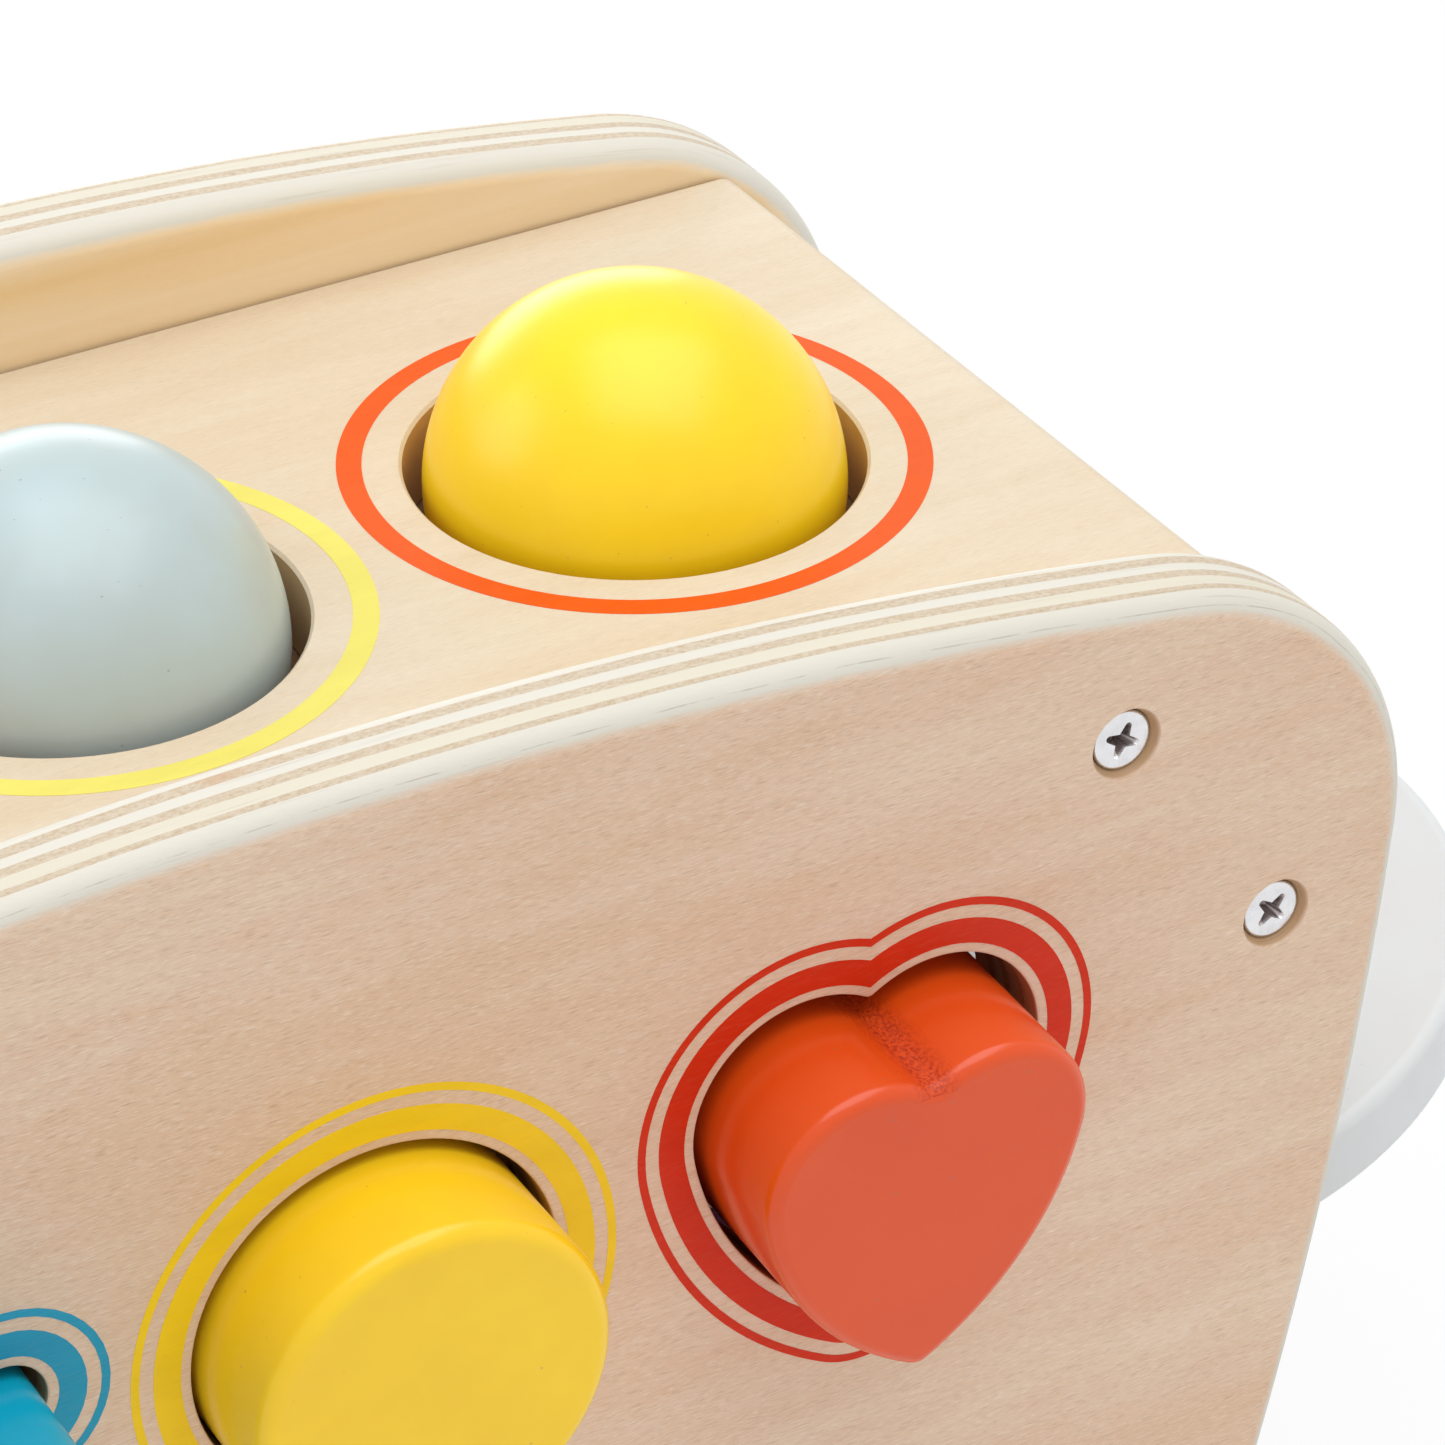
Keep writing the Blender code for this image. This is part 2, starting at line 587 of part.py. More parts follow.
def add_xylophone(bench):
    """Board, felt strips, tuned bars and pins, all in the slope's own frame."""
    slope = empty("xylophone_slope", bench, (0, 0, XYLOPHONE_HEIGHT), (0, -XYLOPHONE_SLOPE, 0))
    base = piece("xylophone_base", plate_mesh([base_outline()], BASE_THICKNESS, BASE_EDGE_ROUND,
                                              -BASE_THICKNESS / 2),
                 "white_paint", slope, smooth=True)
    felt_bottom = FIT_GAP
    key_bottom = felt_bottom + FELT_THICKNESS + FIT_GAP
    head_bottom = key_bottom + KEY_THICKNESS + FIT_GAP
    shank_hole = PIN_SHANK_RADIUS + FIT_GAP
    colours = ["red_enamel", "orange_enamel", "yellow_enamel", "green_enamel", "grey_blue_enamel",
               "blue_enamel", "purple_enamel", "red_enamel"]
    for order in range(KEY_COUNT):
        x = key_place(order)
        node = key_node(order)
        key_hole = circle(PIN_SHANK_RADIUS + KEY_HOLE_CLEARANCE, 8)
        holes = [clockwise([(a, b + sign * node) for a, b in key_hole]) for sign in (-1, 1)]
        bar = rounded_bar(KEY_WIDTH, key_length(order), KEY_CORNER_RADIUS)
        mesh = plate_mesh([bar] + holes, KEY_THICKNESS, 0, key_bottom + KEY_THICKNESS / 2)
        piece(f"key_{order + 1}", mesh, colours[order % len(colours)], slope, (x, 0, 0))
    head = PIN_HEAD_RADIUS
    head_top = head_bottom + PIN_HEAD_HEIGHT
    section = [(0, head_top), (head / 2, head_top), (head, head_bottom),
               (PIN_SHANK_RADIUS, head_bottom), (PIN_SHANK_RADIUS, -PIN_DEPTH), (0, -PIN_DEPTH)]
    hole_bottom = -PIN_DEPTH - FIT_GAP
    hole_section = [(0, CUT_OVERRUN), (shank_hole, CUT_OVERRUN), (shank_hole, hole_bottom),
                    (0, hole_bottom)]
    for side, sign in (("front", -1), ("rear", 1)):
        holes = []
        for order in range(KEY_COUNT):
            place = (key_place(order), sign * key_node(order), 0)
            pin = piece(f"key_pin_{side}_{order + 1}", profile_mesh(section), "zinc", slope, place)
            turn_about_z(pin, 8)
            tool = cutter(f"key_pin_{side}_{order + 1}_hole", profile_mesh(hole_section), slope, place)
            turn_about_z(tool, 8)
            cut(base, tool)
            holes.append(clockwise(circle(shank_hole, 8, place[:2])))
        mesh = plate_mesh([felt_outline(sign)] + holes, FELT_THICKNESS, 0,
                          felt_bottom + FELT_THICKNESS / 2)
        piece(f"{side}_felt", mesh, "felt", slope)


def felt_outline(sign):
    """Outline of a felt strip that runs under the bars' still points."""
    start = key_place(0) - KEY_WIDTH / 2
    end = key_place(KEY_COUNT - 1) + KEY_WIDTH / 2
    rise = (key_node(KEY_COUNT - 1) - key_node(0)) / (key_place(KEY_COUNT - 1) - key_place(0))
    start_y = key_node(0) - rise * KEY_WIDTH / 2
    end_y = key_node(KEY_COUNT - 1) + rise * KEY_WIDTH / 2
    half = FELT_WIDTH / 2
    return [(start, sign * start_y - half), (end, sign * end_y - half),
            (end, sign * end_y + half), (start, sign * start_y + half)]


def build():
    """Make every piece in the bench's own frame."""
    bench = empty("bench_middle", None, (0, BENCH_Y, 0))
    carriers = add_panels(bench)
    carriers["top_board"] = add_top_board(bench)
    carriers.update(add_headers(bench))
    add_screws(bench, carriers)
    add_balls(bench)
    add_pegs(bench)
    add_runners(bench)
    add_xylophone(bench)


clear_scene()
PARTS = new_collection("pounding_bench_with_xylophone")
CUTTERS = new_collection("cutters")
build()
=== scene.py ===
"""Looks of the wooden pounding bench with xylophone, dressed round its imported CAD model.

Metres, +Z up, +X along the bench, the pegs face -Y. Shapes are drawn in the bench's own
frame, whose middle lies BENCH_Y behind the row's origin, and use the sizes of the CAD
source. Every visual piece takes the place of the CAD nodes that it names.
"""
import json
import math

import bmesh
import bpy
from mathutils import Matrix, Vector, noise
from mathutils.geometry import tessellate_polygon

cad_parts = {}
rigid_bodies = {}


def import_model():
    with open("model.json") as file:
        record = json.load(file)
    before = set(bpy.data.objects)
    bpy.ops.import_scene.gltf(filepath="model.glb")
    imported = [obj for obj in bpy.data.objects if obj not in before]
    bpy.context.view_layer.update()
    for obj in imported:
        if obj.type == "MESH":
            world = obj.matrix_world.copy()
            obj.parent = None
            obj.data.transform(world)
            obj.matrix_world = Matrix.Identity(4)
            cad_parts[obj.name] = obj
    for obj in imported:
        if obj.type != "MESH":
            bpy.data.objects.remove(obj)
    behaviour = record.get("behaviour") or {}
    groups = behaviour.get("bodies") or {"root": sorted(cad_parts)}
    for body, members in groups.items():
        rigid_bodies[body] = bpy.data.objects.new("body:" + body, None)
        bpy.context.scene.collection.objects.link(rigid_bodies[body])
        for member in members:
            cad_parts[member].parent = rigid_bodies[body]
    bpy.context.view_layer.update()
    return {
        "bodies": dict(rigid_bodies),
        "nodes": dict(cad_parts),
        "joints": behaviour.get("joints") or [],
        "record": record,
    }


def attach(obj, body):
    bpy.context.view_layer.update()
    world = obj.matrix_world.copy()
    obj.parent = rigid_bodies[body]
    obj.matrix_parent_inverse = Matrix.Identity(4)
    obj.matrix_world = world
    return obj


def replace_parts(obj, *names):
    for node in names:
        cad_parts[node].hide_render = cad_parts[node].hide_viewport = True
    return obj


# Bench and panels
BENCH_Y = 0.0065
FIT_GAP = 0.0003
BOARD_HEIGHT = 0.153
INNER_WIDTH = 0.1004
PANEL_THICKNESS = 0.012
PANEL_CREST_RISE = 0.0149
PANEL_HALF_LENGTH = 0.1226
PANEL_CREST_RADIUS = 0.5400
PANEL_SHOULDER_RADIUS = 0.0342
PANEL_SIDE_RADIUS = 0.5462
PANEL_SIDE_LEAN = math.radians(4.9)
PANEL_FOOT_RADIUS = 0.015
PANEL_EDGE = 0.0030
HOLE_EDGE = 0.00035
PANEL_OUTER_Y = INNER_WIDTH / 2 + PANEL_THICKNESS
PANEL_MIDDLE_Y = (INNER_WIDTH + PANEL_THICKNESS) / 2

# Top board, balls, seat rings and retainers
BOARD_LENGTH = 0.2147
BOARD_THICKNESS = 0.015
BOARD_EDGE = 0.0025
BOARD_SIDE_EASE = 0.0002
BALL_PITCH = 0.0656
BALL_HOLE_RADIUS = 0.0245
BALL_RADIUS = 0.0225
BALL_UNEVENNESS = 0.00012
BALL_WAVE = 0.012
SEAT_DEPTH = 0.010
SEAT_RECESS_RADIUS = 0.029
SEAT_INNER_RADIUS = 0.0215
SEAT_THICKNESS = 0.002
SEAT_EDGE = 0.0004
RETAINER_INNER_RADIUS = 0.0238

# Headers and runners
HEADER_X = 0.1064
HEADER_THICKNESS = 0.012
HEADER_HEIGHT = 0.040
HEADER_EDGE = 0.001
RUNNER_LENGTH = 0.190
RUNNER_WIDTH = 0.010
RUNNER_HEIGHT = 0.008
RUNNER_EDGE = 0.0008

# Shaped holes and pegs
PEG_LENGTH = 0.036
PEG_ROW_DEPTH = 0.047
PEG_ROW_HEIGHT = BOARD_HEIGHT - PEG_ROW_DEPTH
CIRCLE_X = 0.0012
CIRCLE_RISE = 0.0008
CIRCLE_RADIUS = 0.0200
CIRCLE_PROUD = 0.0130
CIRCLE_CLEARANCE = 0.0008
CIRCLE_DROOP = math.radians(1.0)
CIRCLE_EDGE_ROUND = 0.0020
HEART_X = 0.0569
HEART_PROUD = 0.0120
HEART_CLEARANCE = 0.0015
HEART_DROOP = math.radians(3.0)
HEART_EDGE_ROUND = 0.0016
HEART_LOBE_RADIUS = 0.0129
HEART_LOBE = (0.0073, 0.0079)
HEART_FLANK_RADIUS = 0.0370
HEART_FLANK_START = math.radians(10.5)
HEART_TIP_RADIUS = 0.0038
HEART_NOTCH_RADIUS = 0.0010
STAR_X = -0.0561
STAR_PROUD = 0.0125
STAR_CLEARANCE = 0.0009
STAR_DROOP = math.radians(2.0)
STAR_EDGE_ROUND = 0.0012
STAR_TIP_REACH = 0.0190
STAR_TIP_RADIUS = 0.0044
STAR_WAIST = 0.01318
STAR_WAIST_RADIUS = 0.0006
STAR_POINTS = 5
SHARPEST = 0.0001

# Xylophone
SLOPE = math.radians(11.0)
SLOPE_HEIGHT = 0.0482
BASE_HALF_STRAIGHT = 0.1227
BASE_SIDE_CLEARANCE = 0.0013
BASE_END_RADIUS = INNER_WIDTH / 2 - BASE_SIDE_CLEARANCE
BASE_THICKNESS = 0.0096
BASE_EDGE = 0.0017
KEY_COUNT = 8
KEY_PITCH = 0.0258
KEY_WIDTH = 0.020
KEY_LONGEST = 0.090
KEY_SHORTEST = 0.062
KEY_THICKNESS = 0.0025
KEY_CORNER = 0.003
KEY_EDGE = 0.0004
KEY_NODE_SHARE = 0.224
KEY_HOLE_RADIUS = 0.0018
FELT_THICKNESS = 0.005
FELT_WIDTH = 0.008
FELT_EDGE = 0.0010
PIN_HEAD_RADIUS = 0.0032
PIN_HEAD_HEIGHT = 0.0016
PIN_SHANK_RADIUS = 0.0012
PIN_DEPTH = 0.006

# Screws and their countersinks
SCREW_HEAD_RADIUS = 0.0034
SCREW_BEVEL = 0.00040
SCREW_FLAT = 0.00012
SCREW_HEAD_HEIGHT = 0.0022
SCREW_RIM_HEIGHT = 0.0008
SCREW_SHANK_RADIUS = 0.0018
SCREW_LENGTH = 0.026
SCREW_TIP_LENGTH = 0.003
SCREW_TIP_RADIUS = 0.0006
SCREW_SINK = 0.0008
SCREW_TURN = math.radians(34.0)
CROSS_SPAN = 0.0042
CROSS_WIDTH = 0.0008
CROSS_WAIST = 0.0013
CROSS_DEPTH = 0.0019
CROSS_FLOOR_SHARE = 0.40
SINK_MOUTH_RADIUS = 0.0041
SINK_HOLE_RADIUS = 0.0037
SINK_SHANK_RADIUS = 0.0021
SINK_NECK_DEPTH = 0.0035
BOARD_SCREW_X = 0.0866
BOARD_SCREW_DEPTH = 0.0080
HEADER_SCREW_DEPTH = 0.0354

# Printed rings, as distances out from the hole's edge, and the film of paint
FRONT_BAND = (0.0012, 0.0041)
FRONT_LINE = (0.0056, 0.0065)
TOP_RING = (0.0042, 0.0069)
PRINT_PROUD = 0.00004
PRINT_DEPTH = 0.0002

# Turns and placing frames
QUARTER = math.pi / 2
BENCH = Matrix.Translation((0, BENCH_Y, 0))
FACE_FRONT = Matrix.Rotation(QUARTER, 4, "X")
SLOPING = BENCH @ Matrix.Translation((0, 0, SLOPE_HEIGHT)) @ Matrix.Rotation(-SLOPE, 4, "Y")
SMOOTH_ANGLE = math.radians(35)
SIDES = (("front", -1), ("rear", 1))
ENDS = (("left", -1), ("right", 1))

# How many straight steps draw each curve, or each rounded edge
STEPS = {
    "foot": 16, "side": 24, "shoulder": 32, "crest": 32, "panel_edge": 8,
    "heart_tip": 8, "heart_flank": 20, "heart_lobe": 30, "heart_notch": 6,
    "star_tip": 14, "star_waist": 4, "circle": 112, "peg_edge": 6,
    "ball_hole": 96, "ball_ring": 128, "board_edge": 8, "seat_ring": 72, "seat_edge": 3,
    "base_end": 64, "base_edge": 6, "bar_corner": 6, "bar_hole": 24, "pin": 32, "pin_dome": 6,
    "screw": 48, "screw_bevel": 5, "cross_arm": 6, "countersink": 40,
    "edge": 4, "hole_edge": 2,
}
BALL_SUBDIVISIONS = 6

# Colours and tints as linear red, green and blue
PALE_VENEER = (0.79, 0.595, 0.44)
PINK_VENEER = (0.735, 0.5, 0.335)
# Inner face: golden veneer, made brighter and yellower by painted warm bounce light from the top
# board
INNER_VENEER_AND_BOUNCE = (0.93, 0.755, 0.51)
INNER_GOLD = (0.85, 0.6, 0.27)
PLY_LIGHT = (0.675, 0.645, 0.565)
PLY_CREAM = (0.665, 0.62, 0.505)
PLY_TAN = (0.6, 0.51, 0.39)
PLY_KNOT = (0.52, 0.33, 0.19)
PLY_LINE = (0.3, 0.24, 0.17)
# Browner cut wood for the panel's holes and countersinks, partly painted shade on their walls
CUT_BROWN_AND_SHADE = (0.74, 0.48, 0.29)
# Painted warm bounce light and shade for the walls of the top board's ball holes
HOLE_BOUNCE_SHADE = (1.0, 0.78, 0.56)
BOARD_PALE = (0.695, 0.6, 0.455)
BOARD_WARM = (0.66, 0.53, 0.37)
HEADER_PALE = (0.75, 0.6, 0.41)
HEADER_WARM = (0.66, 0.49, 0.32)
YELLOW = (1.0, 0.708, 0.008)
# The balls' yellow taken towards orange for the circle peg: painted shade for its deeper,
# saturated shaded sides
SHADED_PEG_YELLOW = (1.0, 0.655, 0.014)
GREY_BLUE = (0.47, 0.58, 0.6)
ORANGE = (0.85, 0.17, 0.02)
RED = (0.78, 0.08, 0.006)
BLUE = (0.002, 0.39, 0.6)
WHITE = (0.7, 0.725, 0.745)
PRINT_ORANGE = (0.8, 0.1, 0.006)
PRINT_LEMON = (0.8, 0.72, 0.15)
PRINT_YELLOW = (0.95, 0.64, 0.016)
PRINT_RED = (0.67, 0.032, 0.006)
PRINT_BLUE = (0.025, 0.33, 0.5)
ZINC = (0.82, 0.82, 0.84)
# Painted shade inside a screw's cross recess and on its rim
RECESS_SHADE = (0.42, 0.38, 0.37)
GUM_BROWN = (0.2, 0.11, 0.05)
FELT_PALE = (0.74, 0.73, 0.7)
FELT_DARK = (0.55, 0.54, 0.51)
FELT_FUZZ = (0.85, 0.84, 0.81)
FIBRE_LIGHT = (1.0, 0.97, 0.92)
PORE_TINT = (0.74, 0.68, 0.62)
PLY_SPECK_TINT = (0.78, 0.68, 0.56)
SPECK_BROWN = (0.25, 0.18, 0.12)
CREASE_TINT = (0.56, 0.34, 0.42)
PRINT_PORE_TINT = (0.72, 0.66, 0.6)
ENAMELS = {
    "red_enamel": (0.64, 0.03, 0.015),
    "orange_enamel": (0.8, 0.17, 0.02),
    "yellow_enamel": (0.88, 0.56, 0.01),
    "green_enamel": (0.08, 0.38, 0.06),
    "grey_blue_enamel": (0.42, 0.53, 0.56),
    "blue_enamel": (0.01, 0.25, 0.48),
    "purple_enamel": (0.2, 0.08, 0.33),
}

# The plies of a panel: how far each reaches from the outer face, as a share, and its colour
PLY_SHARES = [
    (0.190, PLY_LIGHT), (0.256, PLY_TAN), (0.405, PLY_CREAM), (0.515, PLY_TAN), (0.635, PLY_LIGHT),
    (0.755, PLY_TAN), (1.0, PLY_LIGHT),
]

# Shares of the thickness too: a line of glue, the plies' waver, and how the face's veneer ends
GLUE_SHARE = 0.058
GLUE_HALF_SHARE = 0.0035
PLY_WAVER = 0.012
EDGE_FRAY = 0.004
BARE_SHARES = (0.004, 0.034)

# Where the cut edges of a panel and of the top board belong to their holes, which take painted
# shade
HOLE_REACH_X = 0.1115
HOLE_REACH_Z = 0.1540
HOLE_REACH_SUM = 0.2450
HOLE_REACH_LOW = 0.0750
HOLE_SPAN_X = 0.0960

# The heart's crease: half its width and its core's, and its place from the heart's middle
CREASE_HALF_WIDTH = 0.0028
CREASE_CORE = CREASE_HALF_WIDTH / 3
CREASE_SHIFT = 0.0001
CREASE_RISE = 0.0146

# Each noise: grains to the metre along X, Y and Z, octaves, their roughness and maybe a shift
NOISES = {
    "wood_broad": ((10, 62, 62), 5, 0.68),
    "wood_streak": ((70, 620, 620), 4, 0.65),
    "wood_fibre": ((720, 6000, 6000), 4, 0.7, 3, 1, 2),
    "wood_pore": ((620, 6800, 6800), 2, 0.6, 7, 5, 3),
    "ply_waver": ((22, 90, 90), 2, 0.6),
    "ply_speck": ((1500, 2600, 1500), 3, 0.75),
    "ply_knot": ((60, 60, 60), 3, 0.6, 9, 4, 8),
    "ply_hair": ((45, 2200, 45), 3, 0.6, 2, 6, 1),
    "glue_break": ((260, 260, 260), 3, 0.6, 5, 5, 5),
    "inner_band": ((5, 30, 95), 3, 0.5, 1, 8, 5),
    "edge_fray": ((120, 900, 900), 3, 0.6),
    "paint_cloud": ((55, 55, 55), 3, 0.6),
    "paint_skin": ((620, 620, 620), 1, 0.6),
    "paint_wood": ((160, 1300, 1300), 1, 0.6),
    "paint_speck": ((1700, 1700, 1700), 0, 0.6, 4, 2, 9),
    "crease_pit": ((3200, 2200, 3200), 3, 0.7),
    "print_fibre": ((480, 4300, 4300), 4, 0.7, 3, 1, 2),
    "print_pore": ((420, 5200, 5200), 2, 0.6, 7, 5, 3),
    "print_cloud": ((60, 200, 200), 2, 0.6),
    "metal_cloud": ((400, 400, 400), 3, 0.6),
    "metal_scratch": ((6000, 900, 900), 2, 0.6),
    "enamel_skin": ((260, 260, 260), 2, 0.6),
    "enamel_cloud": ((40, 40, 40), 2, 0.6),
    "felt_matted": ((900, 900, 900), 5, 0.75),
    "felt_strand": ((300, 4000, 2600), 3, 0.7),
    "rubber_dust": ((700, 700, 700), 4, 0.7),
}

# The range of a noise, or of the depth into a panel, over which a change takes place
WIDE = (0.3, 0.7)
CLOUDS = (0.35, 0.65)
MIDDLE = (0.4, 0.6)
BROAD_PATCHES = (0.38, 0.62)
STREAKS = (0.48, 0.72)
FIBRES = (0.50, 0.72)
PORES = (0.52, 0.72)
PITS = (0.60, 0.80)
CRESTS = (0.60, 0.72)
HIGH_HALF = (0.40, 0.70)
BREAKS = (0.42, 0.60)
SPECKS = (0.865, 0.885)
CREASE_PITS = (0.42, 0.62)
PRINT_FIBRES = (0.50, 0.80)
PRINT_PORES = (0.62, 0.80)
FUZZ = (0.55, 0.80)

# How strongly each detail shows
PANEL_CONTRAST = 0.8
PLAIN_CONTRAST = 0.4
STREAK_STRENGTH = 0.8
FIBRE_STRENGTH = 0.42
PORE_STRENGTH = 0.8
KNOT_STRENGTH = 0.6
HAIR_STRENGTH = 0.22
GLUE_STRENGTH = 0.42
INNER_STRENGTH = 0.85
INNER_RELIEF = 0.3
PAINT_WAVER = 0.04
PAINT_FLECKS = 0.45
PAINT_WOOD_RELIEF = 0.6
WHITE_WAVER = 0.02
WHITE_FLECKS = 0.15
CREASE_RELIEF = 4.0
CREASE_ROUGHNESS = 0.2
ROUGHNESS_WAVER = 0.02
PRINT_FIBRE_STRENGTH = 0.05
PRINT_PORE_STRENGTH = 0.35
FUZZ_STRENGTH = 0.6

# The share of itself that a colour goes to where its noise is high
PRINT_SHADE = 0.93
METAL_SHADE = 0.88
ENAMEL_SHADE = 0.92
RUBBER_SHADE = 1.4

# What the shader takes plain: how it reflects, and its coat and sheen
PAINT_IOR = 1.48
PRINT_SPECULAR = 0.12
ENAMEL_COAT = 0.4
ENAMEL_COAT_ROUGHNESS = 0.12
FELT_SHEEN = 0.3

# Roughness, plain or from end to end of a noise, and each bump's depth and strength
FELT_ROUGHNESS = 0.95
ZINC_ROUGHNESS = 0.24
SCREW_ROUGHNESS = 0.26
BALL_ROUGHNESS = 0.32
PEG_ROUGHNESS = 0.24
WHITE_ROUGHNESS = 0.42
PANEL_ROUGHNESS = (0.44, 0.58)
WOOD_ROUGHNESS = (0.42, 0.58)
PRINT_ROUGHNESS = (0.30, 0.42)
ENAMEL_ROUGHNESS = (0.24, 0.31)
RUBBER_ROUGHNESS = (0.70, 0.90)
SCRATCH_SMOOTHER = 0.06
SCRATCH_ROUGHER = 0.10
PANEL_BUMP = (0.00006, 0.35)
WOOD_BUMP = (0.00005, 0.25)
PAINT_BUMP = (0.00003, 0.22)
METAL_BUMP = (0.00002, 0.25)
ENAMEL_BUMP = (0.00001, 0.12)
FELT_BUMP = (0.0003, 0.6)
RUBBER_BUMP = (0.00008, 0.4)

# The numbers of a mix node's sockets for colours
MIX_FACTOR = 0
MIX_FIRST = 6
MIX_SECOND = 7
MIX_RESULT = 2


def arc(centre, radius, start, end, steps):
    """Points of an arc about a centre, both ends included, angles from +X."""
    angles = [start + (end - start) * k / steps for k in range(steps + 1)]
    return [(centre[0] + radius * math.cos(a), centre[1] + radius * math.sin(a)) for a in angles]


def circle_outline(radius, steps, centre=(0, 0)):
    """A circle whose outline can be taken further in or, with a minus, further out."""
    return lambda inset: arc(centre, radius - inset, 0, math.tau * (steps - 1) / steps, steps - 1)


def mirrored(half):
    """Close an outline from its right half, which starts and ends on the middle line."""
    return half + [(-x, y) for x, y in half[-2:0:-1]]


def offset(points):
    """Any outline that runs anticlockwise, made so that it can be taken further in."""
    def moved(inset):
        made = []
        for k, (x, y) in enumerate(points):
            before = Vector(points[k - 1])
            after = Vector(points[(k + 1) % len(points)])
            into = (Vector((x, y)) - before).normalized().orthogonal()
            out = (after - Vector((x, y))).normalized().orthogonal()
            step = (into + out) * (inset / (1 + into.dot(out)))
            made.append((x + step.x, y + step.y))
        return made
    return moved


def panel_points():
    """Side panel: crested top, round shoulders, bowed sides and round feet."""
    crest = (0, BOARD_HEIGHT + PANEL_CREST_RISE - PANEL_CREST_RADIUS)
    shoulder_x = PANEL_HALF_LENGTH - PANEL_SHOULDER_RADIUS
    reach = PANEL_CREST_RADIUS - PANEL_SHOULDER_RADIUS
    shoulder = (shoulder_x, crest[1] + math.sqrt(reach ** 2 - shoulder_x ** 2))
    crest_end = math.acos(shoulder_x / reach)
    side_reach = PANEL_SIDE_RADIUS - PANEL_SHOULDER_RADIUS
    side = (shoulder[0] - side_reach * math.cos(PANEL_SIDE_LEAN),
            shoulder[1] + side_reach * math.sin(PANEL_SIDE_LEAN))
    foot_reach = PANEL_SIDE_RADIUS - PANEL_FOOT_RADIUS
    side_end = math.asin((side[1] - PANEL_FOOT_RADIUS) / foot_reach)
    foot = (side[0] + foot_reach * math.cos(side_end), PANEL_FOOT_RADIUS)
    half = [(0, 0)]
    half += arc(foot, PANEL_FOOT_RADIUS, -QUARTER, -side_end, STEPS["foot"])
    half += arc(side, PANEL_SIDE_RADIUS, -side_end, -PANEL_SIDE_LEAN, STEPS["side"])[1:]
    half += arc(shoulder, PANEL_SHOULDER_RADIUS, -PANEL_SIDE_LEAN, crest_end,
                STEPS["shoulder"])[1:]
    half += arc(crest, PANEL_CREST_RADIUS, crest_end, QUARTER, STEPS["crest"])[1:]
    return mirrored(half)


def heart_outline(inset):
    """Heart: a round tip, two long flanks, two lobes and a soft notch, all in tangent arcs."""
    flank_reach = HEART_FLANK_RADIUS - HEART_LOBE_RADIUS
    flank = (HEART_LOBE[0] - flank_reach * math.cos(HEART_FLANK_START),
             HEART_LOBE[1] + flank_reach * math.sin(HEART_FLANK_START))
    tip_reach = HEART_FLANK_RADIUS - HEART_TIP_RADIUS
    tip = (0, flank[1] - math.sqrt(tip_reach ** 2 - flank[0] ** 2))
    tip_end = math.atan2(tip[1] - flank[1], -flank[0])
    lobe_radius = HEART_LOBE_RADIUS - inset
    notch_radius = max(HEART_NOTCH_RADIUS + inset, SHARPEST)
    notch = (0, HEART_LOBE[1] + math.sqrt((lobe_radius + notch_radius) ** 2 - HEART_LOBE[0] ** 2))
    lobe_end = math.atan2(notch[1] - HEART_LOBE[1], -HEART_LOBE[0])
    half = arc(tip, HEART_TIP_RADIUS - inset, -QUARTER, tip_end, STEPS["heart_tip"])
    half += arc(flank, HEART_FLANK_RADIUS - inset, tip_end, -HEART_FLANK_START,
                STEPS["heart_flank"])[1:]
    half += arc(HEART_LOBE, lobe_radius, -HEART_FLANK_START, lobe_end, STEPS["heart_lobe"])[1:]
    half += arc(notch, notch_radius, lobe_end - math.pi, -QUARTER, STEPS["heart_notch"])[1:]
    return mirrored(half)


def star_outline(inset):
    """Star: round tips joined by straight flanks, with small rounds between them."""
    half_step = math.pi / STAR_POINTS
    across = STAR_WAIST * math.sin(half_step)
    along = STAR_WAIST * math.cos(half_step) - STAR_TIP_REACH
    sweep = math.atan2(across, along) - math.acos(STAR_TIP_RADIUS / math.hypot(across, along))
    slant = math.cos(sweep - half_step)
    waist_radius = max(STAR_WAIST_RADIUS + inset, SHARPEST)
    reach = STAR_WAIST + (waist_radius - inset) / slant
    points = []
    for k in range(STAR_POINTS):
        middle = QUARTER + k * 2 * half_step
        tip = (STAR_TIP_REACH * math.cos(middle), STAR_TIP_REACH * math.sin(middle))
        points += arc(tip, STAR_TIP_RADIUS - inset, middle - sweep, middle + sweep,
                      STEPS["star_tip"])
        notch = middle + half_step
        waist = (reach * math.cos(notch), reach * math.sin(notch))
        points += arc(waist, waist_radius, middle + sweep - math.pi,
                      middle + 2 * half_step - sweep - math.pi, STEPS["star_waist"])
    return points


def box_outline(length, width):
    """A rectangle about the middle."""
    return offset([(length / 2, -width / 2), (length / 2, width / 2),
                   (-length / 2, width / 2), (-length / 2, -width / 2)])


def bar_outline(width, length, corner):
    """A bar with round corners, long along Y."""
    wide = width / 2 - corner
    tall = length / 2 - corner
    points = []
    for k, place in enumerate(((wide, tall), (-wide, tall), (-wide, -tall), (wide, -tall))):
        points += arc(place, corner, k * QUARTER, (k + 1) * QUARTER, STEPS["bar_corner"])
    return offset(points)


def base_points():
    """The xylophone's board, straight sides and half-round ends."""
    right = arc((BASE_HALF_STRAIGHT, 0), BASE_END_RADIUS, -QUARTER, QUARTER, STEPS["base_end"])
    left = arc((-BASE_HALF_STRAIGHT, 0), BASE_END_RADIUS, QUARTER, 3 * QUARTER,
               STEPS["base_end"])
    return right + left


def about(outline_of, x, y):
    """The same outline about another middle."""
    return lambda inset: [(a + x, b + y) for a, b in outline_of(inset)]


def taken_in(outline_of, clearance):
    """The same outline with a clearance all round."""
    return lambda inset: outline_of(inset + clearance)


